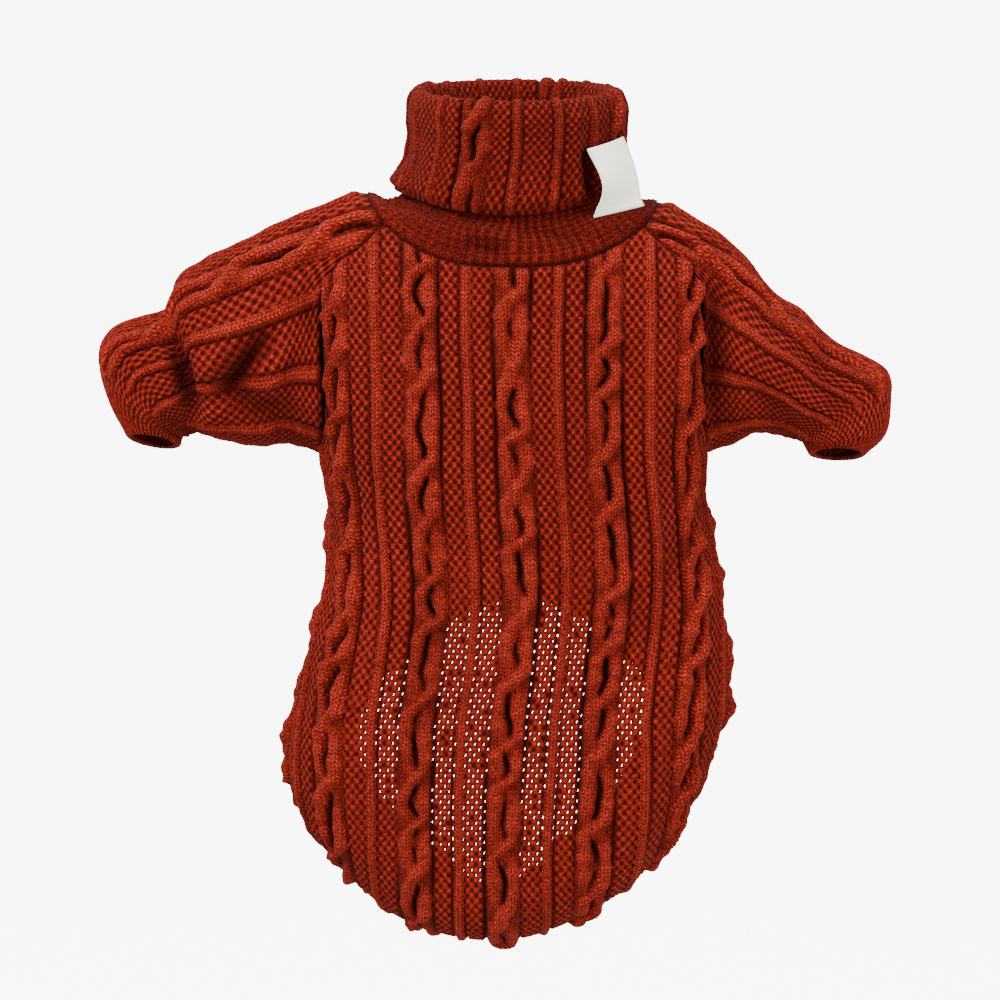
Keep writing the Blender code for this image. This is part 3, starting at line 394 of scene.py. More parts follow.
# The tape's cream in painted shade, along its turned edges.
TAPE_EDGE_SHADE = (0.78, 0.72, 0.58, 1.0)
TAPE_WEAVE = (0.2, 0.8)    # how the weave and the fibres turn into shares of cream
TAPE_CLOUD = (0.4, 0.8)
TAPE_THREAD = 0.9
WHITE = (1.0, 1.0, 1.0, 1.0)
STAGE_WHITE = (0.93, 0.93, 0.93, 1.0)
FLOOR_LEVEL = -0.62
BACKDROP_DISTANCE = 8.0
STAGE_SIZE = 30.0
STAGE_GLOW = 7.0
KEY_POWER = 56.0
FILL_POWER = 18.0
TOP_POWER = 13.0
WORLD_STRENGTH = 1.36
LIGHT_TARGET = (0.0, 0.0, -0.1)
CAMERA_TARGET = (-0.0053, 0.0, -0.1025)
CAMERA_ELEVATION = 7.0     # degrees above level
CAMERA_DISTANCE = 2.2
CAMERA_VIEW = 0.44         # width of the view at the garment


# ---- curves and surfaces -------------------------------------------------------------------------

def column(rows, names, name):
    """One named column of a table."""
    return np.array([row[names.index(name)] for row in rows])


def smooth(at, places, values):
    """A cubic curve through numbers, or through rings of points, with the slope that its neighbours give
    each of them."""
    order = np.argsort(places)
    places = places[order]
    values = values[order]
    slopes = np.gradient(values, places, axis=0)
    at = np.clip(at, places[0], places[-1])
    low = np.clip(np.searchsorted(places, at, side="right") - 1, 0, len(places) - 2)
    spread = (...,) + (None,) * (values.ndim - 1)
    step = (places[low + 1] - places[low])[spread]
    t = (at - places[low])[spread] / step
    start = (2 * t**3 - 3 * t**2 + 1) * values[low] + (t**3 - 2 * t**2 + t) * step * slopes[low]
    end = (3 * t**2 - 2 * t**3) * values[low + 1] + (t**3 - t**2) * step * slopes[low + 1]
    return start + end


def between(ends, share):
    """Values on the straight line between two ends."""
    first, last = (np.asarray(end, float) for end in ends)
    return first + (last - first) * share


def unit(vectors):
    """Vectors at length one."""
    return vectors / np.maximum(np.linalg.norm(vectors, axis=-1, keepdims=True), SMALL)


def bump(distance, width):
    """A soft hill: 1 at no distance, falling off over the width."""
    return np.exp(-((distance / width) ** 2))


def fade(value, start, end):
    """0 at start, 1 at end, with soft ends."""
    t = np.clip((value - start) / (end - start), 0.0, 1.0)
    return t * t * (3 - 2 * t)


def half_section(reach, depth, radius):
    """Slope of the straight run, its length, and the length from the middle to the silhouette."""
    flat = reach - radius
    span = np.hypot(flat, depth)
    slope = np.arctan2(depth, flat) - np.arcsin(radius / span)
    straight = np.sqrt(span**2 - radius**2)
    return slope, straight, straight + radius * (np.pi / 2 - slope)


def torso_shape(across, height):
    """Sizes of the inside of the section on which each point of the flat pattern lies."""
    level = np.maximum(height, TAIL_TOP)
    places = column(TORSO, TORSO_COLUMNS, "height")
    shape = {name: smooth(level, places, column(TORSO, TORSO_COLUMNS, name)) for name in TORSO_COLUMNS[1:]}
    below = np.maximum(TAIL_TOP - height, 0.0)
    angle = np.where(height < TAIL_TOP, np.degrees(np.arctan2(np.abs(across), below + SMALL)), 90.0)
    angles = column(TAIL, TAIL_COLUMNS, "angle")
    left = smooth(angle, angles, column(TAIL, TAIL_COLUMNS, "left_reach"))
    right = smooth(angle, angles, column(TAIL, TAIL_COLUMNS, "right_reach"))
    tail_round = smooth(angle, angles, column(TAIL, TAIL_COLUMNS, "round"))
    in_tail = height < TAIL_TOP
    shape["angle"] = np.radians(angle)
    shape["reach"] = np.where(in_tail, np.where(across < 0, left, right), shape["half_width"]) - WALL
    shape["back_round"] = np.where(in_tail, tail_round, shape["back_round"]) - WALL
    for name in ("back_depth", "belly_depth", "belly_round"):
        shape[name] = shape[name] - WALL
    return shape


def torso(across, height):
    """Point on the inside of the torso.  Across is measured along the cloth from the middle of the back:
    a straight run, then an arc to the silhouette, then an arc and a straight run on the belly's side.
    Height is level above the tail and measured along the cloth on it, where sections fan out."""
    across, height = np.broadcast_arrays(np.asarray(across, float), np.asarray(height, float))
    shape = torso_shape(across, height)
    reach = shape["reach"]
    radius = shape["back_round"]
    slope, straight, side = half_section(reach, shape["back_depth"], radius)
    far_radius = shape["belly_round"]
    far_slope, _, far_side = half_section(reach, shape["belly_depth"], far_radius)
    run = np.where(height < TAIL_TOP, np.hypot(across, TAIL_TOP - height), np.abs(across))
    turned = slope + (run - straight) / radius
    far_turned = (run - side) / far_radius
    far_left = far_side - (run - side)
    zones = [run < straight, run < side, far_turned < np.pi / 2 - far_slope]
    near_out = reach - radius + radius * np.sin(turned)
    far_out = reach - far_radius + far_radius * np.cos(far_turned)
    out = np.select(zones, [run * np.cos(slope), near_out, far_out], far_left * np.cos(far_slope))
    near_depth = run * np.sin(slope) - shape["back_depth"]
    last_depth = shape["belly_depth"] - far_left * np.sin(far_slope)
    round_depths = [-radius * np.cos(turned), far_radius * np.sin(far_turned)]
    depth = np.select(zones, [near_depth] + round_depths, last_depth)
    side_sign = np.where(across < 0, -1.0, 1.0)
    x = shape["middle"] + side_sign * out * np.sin(shape["angle"])
    z = np.where(height < TAIL_TOP, TAIL_TOP - out * np.cos(shape["angle"]), height)
    return np.stack([x, depth, z], axis=-1)


def silhouette(side_sign, height):
    """Length along the cloth from the middle of the back to the silhouette, and all of the half."""
    shape = torso_shape(np.asarray(side_sign * FAN), np.asarray(height))
    near = half_section(shape["reach"], shape["back_depth"], shape["back_round"])[2]
    far = half_section(shape["reach"], shape["belly_depth"], shape["belly_round"])[2]
    return near, near + far


def belly(across, height):
    """Point on the inside of the torso, across being measured from the middle of the belly."""
    sign = np.where(across < 0, -1.0, 1.0)
    return torso(sign * (silhouette(sign, height)[1] - np.abs(across)), height)


def neck_point(surface, across):
    """Height of the neck seam on a panel: it rises with a power of the distance from the middle."""
    height = np.full(np.shape(across), NECK_LOW)
    for _ in range(NECK_PASSES):
        share = surface(across, height)[..., 0] / NECK_HALF
        height = NECK_LOW + (NECK_HIGH - NECK_TILT * share - NECK_LOW) * np.abs(share) ** NECK_POWER
    return height


def top_edge(surface, across):
    """Height of a panel's top edge: the neck seam, then the raglan seam down to its turn."""
    neck = neck_point(surface, np.clip(across, -NECK_END, NECK_END))
    start = neck_point(surface, np.array([NECK_END]))[0]
    rows = RAGLAN[:RAGLAN_TOP_ROWS]
    heights = np.append(start, column(rows, RAGLAN_COLUMNS, "height"))
    places = np.append(NECK_END, column(rows, RAGLAN_COLUMNS, "back"))
    return np.where(np.abs(across) < NECK_END, neck, smooth(np.abs(across), places, heights))


def side_edge(name, sign, height):
    """Distance of a panel's side edge from its middle line: the raglan seam, the side seam and, on the
    back, the start of the hem."""
    rows = RAGLAN[RAGLAN_TOP_ROWS - 1:]
    heights = np.append(column(rows, RAGLAN_COLUMNS, "height"), ARMPIT_HEIGHT)
    edges = []
    for side in (-1.0, 1.0):
        near, whole = silhouette(side, ARMPIT_HEIGHT)
        last = near + SIDE[0][1] if name == "back" else whole - near - SIDE[0][1]
        places = np.append(column(rows, RAGLAN_COLUMNS, name), last)
        edges.append(np.interp(-height, -heights, places))
    raglan = np.where(np.asarray(sign) < 0, edges[0], edges[1])
    past = smooth(height, column(SIDE, SIDE_COLUMNS, "height"), column(SIDE, SIDE_COLUMNS, "past_silhouette"))
    near, whole = silhouette(np.broadcast_to(sign, np.shape(height)), np.maximum(height, TAIL_TOP))
    seam = near + past if name == "back" else whole - near - past
    return np.where(height > ARMPIT_HEIGHT, raglan, seam)


def hem_reach(across, height):
    """Distance along the cloth from the tail's middle point to its hem, in the direction of each point."""
    shape = torso_shape(across, np.minimum(height, TAIL_TOP - SMALL))
    return half_section(shape["reach"], shape["back_depth"], shape["back_round"])[2] + TAIL_WRAP


# ---- relief of the knit --------------------------------------------------------------------------

def waves(table, along, which, side=0.0):
    """Unevenness along a cable or rib: a sum of waves, each shifted by which cable it is and by the side."""
    return sum(amount * np.sin(along / length + next_shift * which + side_shift * side)
               for amount, length, next_shift, side_shift in table)


def ripple(wave, across, along):
    """A wave over the flat pattern."""
    amount, across_length, along_length = wave
    return amount * np.sin(across / across_length + along / along_length)


def strand_height(offset, along, which, phase):
    """Height of the two strands of a cable: each is a rounded cord whose middle swings from side to side,
    high as it passes over the other strand and low as it passes under.  Where the strands lie side by side
    there is a slanted gap between them.  Slow and quick waves along the cable make all this uneven."""
    turn = np.pi * (along + phase + CABLE_SHIFT * which) / CABLE_TURN + waves(TURN_WAVES, along, which)
    swing = np.tanh(STRAND_TURN * np.cos(turn)) / np.tanh(STRAND_TURN)
    wobble = waves(WOBBLE_WAVES, along, which)
    height = CABLE_GROUND * fade(STRAND_SWING + STRAND_HALF - np.abs(offset), *STRAND_EDGE)
    for side in (-1.0, 1.0):
        size = 1.0 + waves(SIZE_WAVES, along, which, side)
        away = (offset - side * STRAND_SWING * swing - wobble) / (STRAND_HALF * size)
        lift = CABLE_HEIGHT * (1.0 - STRAND_DIP + STRAND_DIP * side * np.sin(turn)) * size
        crown = np.clip(1.0 - np.abs(away) ** STRAND_FULL, 0.0, 1.0) ** STRAND_ROUND
        height = np.maximum(height, lift * crown)
    middle = wobble + GAP_SLANT * np.sin(2 * turn + GAP_TURN * which) + waves(GAP_WAVES, along, which)
    depth = CABLE_GAP * (GAP_DEPTH + waves(GAP_DEPTH_WAVES, along, which))
    return height - depth * bump(offset - middle, GAP_HALF) * fade(np.abs(np.cos(turn)), *GAP_APART)


def band_places(columns):
    """Cells from the nearest cable's middle, and the number of that cable."""
    place = (columns + CELLS / 2) % CELLS - CELLS / 2
    return place, np.floor((columns + CELLS / 2) / CELLS)


def knit(across, along, phase=0.0, every=1):
    """Relief of the knit over its flat pattern, and how much of each point is net: a cable, a gutter, the
    net, a rib, and the net again.  Cables left out by every are narrow ribs with more net instead."""
    place, which = band_places(across / CELL)
    away = np.abs(place)
    side = np.sign(place)
    ribbed = which % every != 0
    gutter = GUTTER_DEPTH + waves(GUTTER_WAVES, along, which, side)
    gutter = gutter * bump(away - NET_START - GUTTER_PAST, GUTTER_HALF)
    relief = np.where(ribbed, 0.0, strand_height(place * CELL, along, which, phase) - gutter)
    from_rib = CELLS / 2 - away
    from_rib = np.where(ribbed, np.minimum(away, from_rib), from_rib)
    rib = np.sqrt(np.clip(1.0 - (from_rib / RIB_HALF) ** 2, 0.0, 1.0))
    relief = relief + RIB_HEIGHT * rib * (RIB_LOW + waves(RIB_WAVES, along, which))
    gutter = RIB_GUTTER_DEPTH + waves(RIB_GUTTER_WAVES, along, which, side)
    relief = relief - gutter * bump(from_rib - RIB_HALF - GUTTER_PAST, RIB_GUTTER_HALF)
    lumps = ripple(LUMPS, across, along) * ripple(CROSSED_LUMPS, across, along)
    relief = relief + lumps * fade(relief, *LUMPS_START)
    start = np.where(ribbed, RIB_HALF - 0.5, NET_START)
    net = fade(away, start, start + 1) * (1 - fade(away, NET_END - 1, NET_END))
    return relief - NET_RELIEF * net * lattice(away, along / ROW), net


def lattice(cells, rows):
    """1 at the middle of each eyelet of the staggered net, -1 at the crossings of yarn between them."""
    return np.cos(np.pi * (cells - EYELET_FIRST - 0.5) / 2) * np.cos(np.pi * (rows - 0.5) / 2)


def eyelets(columns, rows):
    """Which grid cells are eyelets: every fourth row of every second net column, staggered."""
    k = (columns + CELLS // 2) % CELLS - CELLS // 2
    k = np.where(k < 0, -1 - k, k)
    netted = (k >= EYELET_FIRST) & (k <= EYELET_LAST) & (k % 2 == 0)
    return netted[None, :] & ((k[None, :] + rows[:, None]) % EYELET_PITCH == 0)


# ---- meshes --------------------------------------------------------------------------------------

def mesh_piece(name, points, faces, pattern, painted_shade, material):
    """An object from whole arrays: points in millimetres, four-cornered faces, the flat pattern as its UV
    map and its third column as the share of net, and a tone of painted shade that is 0 in hollows and 1 on
    cables."""
    mesh = bpy.data.meshes.new(name)
    mesh.vertices.add(len(points))
    mesh.vertices.foreach_set("co", (points * MM).astype(np.float32).ravel())
    mesh.loops.add(faces.size)
    mesh.loops.foreach_set("vertex_index", faces.astype(np.int32).ravel())
    mesh.polygons.add(len(faces))
    mesh.polygons.foreach_set("loop_start", np.arange(0, faces.size, faces.shape[1], dtype=np.int32))
    mesh.polygons.foreach_set("use_smooth", np.ones(len(faces), bool))
    layer = mesh.uv_layers.new(name="pattern")
    flat = pattern[faces][..., :2]
    round_it = pattern[:, 0].max() - pattern[:, 0].min() + CELL
    behind = flat[..., 0].max(axis=1, keepdims=True) - flat[..., 0]
    flat[..., 0] += np.where(behind > round_it / 2, round_it, 0.0)
    layer.data.foreach_set("uv", flat.astype(np.float32).ravel())
    for title, values in (("painted_shade", painted_shade), ("net", pattern[:, 2])):
        shade = mesh.attributes.new(title, "FLOAT", "POINT")
        shade.data.foreach_set("value", values.astype(np.float32))
    mesh.update(calc_edges=True)
    mesh.validate()
    mesh.materials.append(material)
    item = bpy.data.objects.new(name, mesh)
    bpy.context.scene.collection.objects.link(item)
    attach(item, "root")
    return item


def grid_faces(rows, columns, closed):
    """Corner numbers of a grid's cells, row by row."""
    ids = np.arange(rows * columns).reshape(rows, columns)
    right = np.roll(ids, -1, axis=1) if closed else ids[:, 1:]
    left = ids if closed else ids[:, :-1]
    return np.stack([left[:-1], left[1:], right[1:], right[:-1]], axis=-1)


def turned_grid(points, closed, outward):
    """Unit normals of a grid of points, from the differences of its neighbours, and its faces.  Both are
    turned to the side of the rough directions that are given for its first rows."""
    around = np.gradient(points, axis=1)
    if closed:
        around = np.roll(points, -1, axis=1) - np.roll(points, 1, axis=1)
    normals = unit(np.cross(np.gradient(points, axis=0), around))
    faces = grid_faces(*points.shape[:2], closed)
    if np.sum(normals[:len(outward)] * outward) < 0:
        return -normals, faces[..., ::-1]
    return normals, faces


def rim(points, normals, faces, reach, depth, turns=4):
    """Add a rounded edge along every open edge of a sheet: rows of points that go round half a circle,
    outwards by reach and inwards through the cloth by depth, at each point of the edge.  Also gives the
    number of the sheet's point that each point comes from."""
    start = faces.ravel()
    end = np.roll(faces, -1, axis=1).ravel()
    key = np.minimum(start, end) * len(points) + np.maximum(start, end)
    _, where, times = np.unique(key, return_inverse=True, return_counts=True)
    alone = times[where] == 1
    start = start[alone]
    end = end[alone]
    outward = np.zeros_like(points)
    direction = np.cross(points[end] - points[start], normals[start] + normals[end])
    np.add.at(outward, start, direction)
    np.add.at(outward, end, direction)
    used = np.unique(np.concatenate([start, end]))
    side = unit(outward[used])
    all_points = [points]
    for k in range(1, turns + 1):
        turn = np.pi * k / turns
        ring = points[used] + side * (reach[used] * np.sin(turn))[:, None]
        all_points.append(ring - normals[used] * (depth[used] * (1 - np.cos(turn)) / 2)[:, None])
    rows = [used] + [len(points) + k * len(used) + np.arange(len(used)) for k in range(turns)]
    first = np.searchsorted(used, start)
    last = np.searchsorted(used, end)
    quads = [np.stack([near[last], near[first], far[first], far[last]], axis=-1)
             for near, far in zip(rows, rows[1:])]
    source = np.concatenate([np.arange(len(points))] + [used] * turns)
    return np.concatenate(all_points), np.concatenate([faces] + quads), source


def edging(groove, ridge, to_seam):
    """A groove along a seam and a low ridge beside it, each a bump of some height, place and width."""
    depth, groove_at, groove_width = groove
    height, ridge_at, ridge_width = ridge
    return height * bump(to_seam - ridge_at, ridge_width) - depth * bump(to_seam - groove_at, groove_width)


def raised(relief, to_seam):
    """How far the cloth's face lies from its inside: its relief starts beside a seam's groove and ridge."""
    return WALL - SINK + relief * fade(to_seam, 0.0, SEAM_FADE) + edging(SEAM_GROOVE, SEAM_RIDGE, to_seam)


def painted_shade_of(relief, to_seam, crease):
    """Painted shade of the knit: dark in its gutters, in seams and in the troughs of creases, light on
    its strands.
    """
    painted_shade = np.clip((relief - TONE_LOW) / TONE_SPAN, 0.0, 1.0)
    trough = 1.0 + np.clip(crease, -TROUGH_DEEP, 0.0) * TROUGH_SHADE
    return painted_shade * (1 - SEAM_SHADE * bump(to_seam, SEAM_SHADE_WIDTH)) * trough


def edge_sizes(at_hem, hem_depth=HEM_DEPTH):
    """How far the sheet's edge stands out and how thick it is: rounded at a hem, plain at a seam."""
    return np.where(at_hem, HEM_REACH, 0.0), np.where(at_hem, hem_depth, WALL)


# ---- knitted pieces ------------------------------------------------------------------------------

def creased(points, table):
    """How far soft troughs and ridges move points along their normals: each falls off with the distance
    from its line, seen from the front, and lies on one side of the garment only."""
    moved = np.zeros(points.shape[:-1])
    for row in table:
        get = dict(zip(CREASE_COLUMNS, row))
        start = np.array([get["x0"], get["z0"]])
        line = np.array([get["x1"], get["z1"]]) - start
        away = points[..., [0, 2]] - start
        share = np.clip(away @ line / (line @ line), 0.0, 1.0)
        distance = np.linalg.norm(away - share[..., None] * line, axis=-1)
        side = fade(points[..., 1] * get["side"], *CREASE_SIDE)
        swell = CREASE_END + (1 - CREASE_END) * np.sin(np.pi * between(CREASE_SPAN, share))
        moved = moved + get["rise"] * side * swell * bump(distance, get["width"])
    return moved


def stretch_eyelets(mask, shape):
    """How far the grid's points move across and up so that each open eyelet is narrower and lower than its
    cell and leans a little to the right."""
    across = np.zeros(shape)
    up = np.zeros(shape)
    for columns, inward in ((slice(0, -1), 1.0), (slice(1, None), -1.0)):
        across[:-1, columns] += mask * (inward * EYELET_NARROW + EYELET_LEAN)
        across[1:, columns] += mask * (inward * EYELET_NARROW - EYELET_LEAN)
        up[:-1, columns] += mask * EYELET_STRETCH
        up[1:, columns] -= mask * EYELET_STRETCH
    return across, up


def open_eyelets(columns, rows):
    """Which cells of the back's grid are holes: the eyelets of its lower middle part that are not near the
    tail's hem, but for a share that fibres close."""
    across, along = np.meshgrid(columns * CELL, rows * ROW)
    height = PANEL_TOP - along
    inside = (height < EYELETS_OPEN) & (np.abs(across) < EYELETS_SIDE)
    from_hem = hem_reach(across, height) - np.hypot(across, TAIL_TOP - height)
    near_hem = (from_hem < EYELETS_HEM) & (height < TAIL_TOP)
    share = EYELET_SHARE + ripple(EYELET_SHARE_WAVE, across, along)
    chance = np.random.default_rng(EYELET_SEED).random(across.shape)
    return eyelets(columns, rows) & inside & ~near_hem & (chance < share)


def outlined(is_back, across, height):
    """Points of a flat pattern, moved onto a panel's outline where they lie past it, and how far each is from
    a seam and from the hem.  The sides move in along the rows, the tail's points towards the middle of its
    fan, and the belly's low ones up to an arch."""
    side_name = "back" if is_back else "belly"
    sign = np.where(across < 0, -1.0, 1.0)
    above = height > RAGLAN[RAGLAN_TOP_ROWS - 1][0]
    limit = np.where(above, RAGLAN_TURN, side_edge(side_name, sign, height))
    new_across = np.clip(across, -limit, limit)
    seam_end = SIDE[-1][0]
    if is_back:
        in_tail = height < TAIL_TOP
        run = np.hypot(across, TAIL_TOP - height)
        whole = hem_reach(across, height)
        scale = np.where(in_tail, np.minimum(1.0, whole / np.maximum(run, SMALL)), 1.0)
        new_across = np.where(in_tail, across * scale, new_across)
        new_height = np.where(in_tail, TAIL_TOP - (TAIL_TOP - height) * scale, height)
        to_hem = np.where(in_tail, whole - run, FAN)
    else:
        share = new_across / side_edge(side_name, sign, np.full(across.shape, seam_end))
        arch = seam_end + (BELLY_HEM_MIDDLE - seam_end) * (1 - share**2)
        new_height = np.maximum(height, arch)
        to_hem = height - arch
    top = top_edge(torso if is_back else belly, new_across)
    new_height = np.minimum(new_height, top)
    to_side = np.where(new_height > seam_end, limit - np.abs(new_across), FAN)
    return new_across, new_height, np.minimum(to_side, top - new_height), to_hem


def panel(name, node, is_back, grid, material):
    """A sheet over one side of the torso: the knit on a flat pattern, moved onto the panel's outline, laid on
    the torso and raised by its relief.  The back's wales drift and its lower eyelets are open."""
    surface = torso if is_back else belly
    column_at = np.arange(-grid[0], grid[0] + 1)
    row_at = np.arange(grid[1] + 1)
    flat_across, flat_height = np.meshgrid(column_at * CELL, PANEL_TOP - row_at * ROW)
    flat_along = PANEL_TOP - flat_height
    across, height, mask = flat_across, flat_height, False
    if is_back:
        mask = open_eyelets(column_at[:-1], row_at[:-1])
        narrowed, stretched = stretch_eyelets(mask, flat_across.shape)
        drift = DRIFT * fade(-flat_height, *DRIFT_HEIGHTS) * bump(flat_across, DRIFT_HALF)
        drift = drift + ripple(WANDER, flat_across, flat_height)
        across = flat_across + narrowed + drift
        height = flat_height + stretched
    new_across, new_height, to_seam, to_hem = outlined(is_back, across, height)
    run = surface(new_across + SLOPE_STEP, new_height) - surface(new_across - SLOPE_STEP, new_height)
    rise = surface(new_across, new_height + SLOPE_STEP) - surface(new_across, new_height - SLOPE_STEP)
    normals = unit(np.cross(run, rise))
    faces = grid_faces(*across.shape, False)
    if not is_back:
        normals = -normals
        faces = faces[..., ::-1]
    relief, net = knit(flat_across, flat_along)
    relief = relief * (HEM_RELIEF + (1 - HEM_RELIEF) * fade(to_hem, 0.0, HEM_FADE))
    points = surface(new_across, new_height)
    crease = creased(points, CREASES)
    points = points + normals * (raised(relief, to_seam) + crease)[..., None]
    cut = np.abs(new_across - across) + np.abs(new_height - height) > SMALL
    kept = ~(cut[:-1, :-1] & cut[1:, :-1] & cut[1:, 1:] & cut[:-1, 1:])
    pattern = np.stack([flat_across, flat_along, net], axis=-1)
    # Painted shade of the knit, darker in hollows, seams and creases.
    painted_shade = painted_shade_of(relief, to_seam, crease)
    at_hem = to_seam > SEAM_RIDGE[1]
    return sheet_piece(name, node, (points, normals, pattern), (painted_shade, *edge_sizes(at_hem)), faces, material,
                       kept, mask)


def sheet_piece(name, node, triples, singles, faces, material, kept=True, mask=False):
    """Give a grid its rounded edges, leave out the cells past its outline and its open eyelets, and put it in
    place of its CAD node.  Triples are its points, normals and pattern; singles are its tone of painted shade
    and how far out and how deep its edge goes.  Also gives the number of cells that are cut from the cloth."""
    points, normals, pattern = (part.reshape(-1, 3) for part in triples)
    painted_shade, reach, depth = (part.ravel() for part in singles)
    kept = np.broadcast_to(kept, faces.shape[:2])
    whole = ~np.broadcast_to(mask, faces.shape[:2])[kept]
    points, all_faces, source = rim(points, normals, faces[kept], reach, depth)
    whole = np.append(whole, np.ones(len(all_faces) - len(whole), bool))
    used, new = np.unique(all_faces[whole], return_inverse=True)
    item = mesh_piece(name, points[used], new.reshape(-1, 4), pattern[source[used]], painted_shade[source[used]],
                      material)
    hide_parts(node)
    return item, int(kept.sum())


def armhole(sign):
    """Angles and points of the armhole's ring: over the shoulder, and down both raglan seams."""
    count = ARMHOLE_POINTS
    share = np.linspace(0.0, 1.0, count)
    shoulder = shoulder_edge(sign, share)
    down = np.concatenate([np.linspace(NECK_END, RAGLAN_TURN, count // 2), np.full(count, RAGLAN_TURN)])
    level = np.linspace(RAGLAN[RAGLAN_TOP_ROWS - 1][0], ARMPIT_HEIGHT, count)
    parts = []
    for surface, name in ((belly, "belly"), (torso, "back")):
        height = np.concatenate([top_edge(surface, sign * down[: count // 2]), level])
        places = np.concatenate([down[: count // 2], side_edge(name, np.full(count, sign), level + SMALL)])
        parts.append(surface(sign * places, height))
    high = max(shoulder[:, 2].max(), parts[0][:, 2].max())
    low = parts[0][:, 2].min()
    turns = [np.arccos(np.clip((2 * part[:, 2] - high - low) / (high - low), -1.0, 1.0)) for part in parts]
    head = turns[0][0] * (2 * share - 1)
    angles = np.concatenate([-turns[1][::-1], head[1:-1], turns[0]])
    points = np.concatenate([parts[1][::-1], shoulder[1:-1], parts[0]])
    return angles, points


def shoulder_edge(sign, share):
    """Points of the neck seam between a sleeve's two raglan seams, from the back to the belly."""
    end = np.array([sign * NECK_END])
    back = torso(end, neck_point(torso, end))[0]
    front = belly(end, neck_point(belly, end))[0]
    turn = np.pi * (share - 0.5)
    reach = NECK_HALF - WALL - abs(back[0])
    x = back[0] + (front[0] - back[0]) * share + sign * reach * np.cos(turn)
    y = back[1] + (front[1] - back[1]) * (0.5 + 0.5 * np.sin(turn))
    rise = NECK_HIGH - sign * NECK_TILT - back[2]
    z = back[2] + (front[2] - back[2]) * share + rise * np.cos(turn)
    return np.stack([x, y, z], axis=-1)


def armhole_ring(sign, angle):
    """Points of the armhole at angles from the sleeve's top, on straight lines between its known points."""
    angles, points = armhole(sign)
    wrapped = np.concatenate([angles[-1:] - 2 * np.pi, angles, angles[:1] + 2 * np.pi])
    points = np.concatenate([points[-1:], points, points[:1]])
    return np.stack([np.interp(angle, wrapped, points[:, i]) for i in range(3)], axis=-1)


def sleeve_ring(angle, row):
    """Points of a sleeve's inside at one section: round from the outline's top point to its under point, a
    little fuller than an ellipse, and tilted by the back's lift."""
    get = dict(zip(SLEEVE_COLUMNS, row))
    top = np.array([get["top_x"], 0.0, get["top_z"]])
    under = np.array([get["under_x"], 0.0, get["under_z"]])
    half = (top - under) / 2
    half = half * (1 - WALL / np.linalg.norm(half))
    ring = (top + under) / 2 + half * np.cos(angle)[:, None]
    swing = np.sin(angle)
    ring[:, 1] += (get["half_depth"] - WALL) * np.sign(swing) * np.abs(swing) ** SLEEVE_FULLNESS
    ring[:, 2] -= get["back_lift"] * swing
    return ring


def tube(rings, first_cable):
    """A grid of points on smooth curves through rings, about one row of knit apart.  Also gives its flat
    pattern, counted from the first cable, and the distances of its rows and of the rings from the first."""
    steps = np.linalg.norm(np.diff(rings, axis=0), axis=-1).mean(axis=1)
    travel = np.cumsum(np.append(0.0, steps))
    at = np.linspace(0.0, travel[-1], int(travel[-1] / ROW) + 1)
    count = rings.shape[1]
    place = np.arange(count) - int(round(first_cable / (2 * np.pi) * count))
    across, along = np.meshgrid(place * CELL, np.arange(len(at)) * ROW)
    return smooth(at, travel, rings), across, along, at[:, None], travel


def sleeve(name, node, sign, sections, creases, material):
    """A tube of knit from the armhole through the sleeve's sections to its open cuff, which is all net."""
    angle = -np.pi + np.arange(SLEEVE_REPEATS * CELLS) * 2 * np.pi / (SLEEVE_REPEATS * CELLS)
    rings = np.array([armhole_ring(sign, angle)] + [sleeve_ring(angle, row) for row in sections])
    inner, across, along, at, travel = tube(rings, np.pi + SLEEVE_CABLE_ANGLE)
    normals, faces = turned_grid(inner, True, inner - inner.mean(axis=1, keepdims=True))
    relief, net = knit(across, along, SLEEVE_PHASE, SLEEVE_REPEATS)
    cuffed = 1 - fade(travel[-1] - at, CUFF_NET, CUFF_NET + CUFF_BLEND)
    netted = CUFF_GROUND - NET_RELIEF * lattice(np.abs(band_places(across / CELL)[0]), along / ROW)
    relief = relief * (1 - cuffed) + netted * cuffed
    net = net + (1 - net) * cuffed
    crease = creased(inner, creases)
    points = inner + normals * (raised(relief, along) + crease)[..., None]
    pattern = np.stack([across, along, net], axis=-1)
    # Painted shade of the knit, darker in hollows, seams and creases.
    singles = (painted_shade_of(relief, along, crease), *edge_sizes(along > travel[-1] / 2))
    return sheet_piece(name, node, (points, normals, pattern), singles, faces, material)


def neck_ring(angle):
    """Points of the neck seam by angle from the middle of the back."""
    along = np.linspace(-NECK_END, NECK_END, NECK_POINTS)
    share = np.linspace(0.0, 1.0, SHOULDER_POINTS)[1:-1]
    back = torso(along, neck_point(torso, along))
    front = belly(along[::-1], neck_point(belly, along[::-1]))
    ring = np.concatenate([back, shoulder_edge(1.0, share), front, shoulder_edge(-1.0, share)[::-1]])
    around = np.unwrap(np.arctan2(ring[:, 0] / NECK_HALF, -ring[:, 1] / (NECK_ROUND * NECK_HALF)))
    return np.stack([np.interp(angle, around, ring[:, i], period=2 * np.pi) for i in range(3)], axis=-1)


def collar_ring(angle, row):
    """Points of one ring of the collar: an ellipse, higher at its sides than in the middle of the back."""
    get = dict(zip(COLLAR_COLUMNS, row))
    x = get["middle"] + get["half_width"] * np.sin(angle)
    y = -get["half_depth"] * np.cos(angle)
    z = get["back_height"] + (get["side_height"] - get["back_height"]) * np.sin(angle) ** 2
    return np.stack([x, y, z], axis=-1)


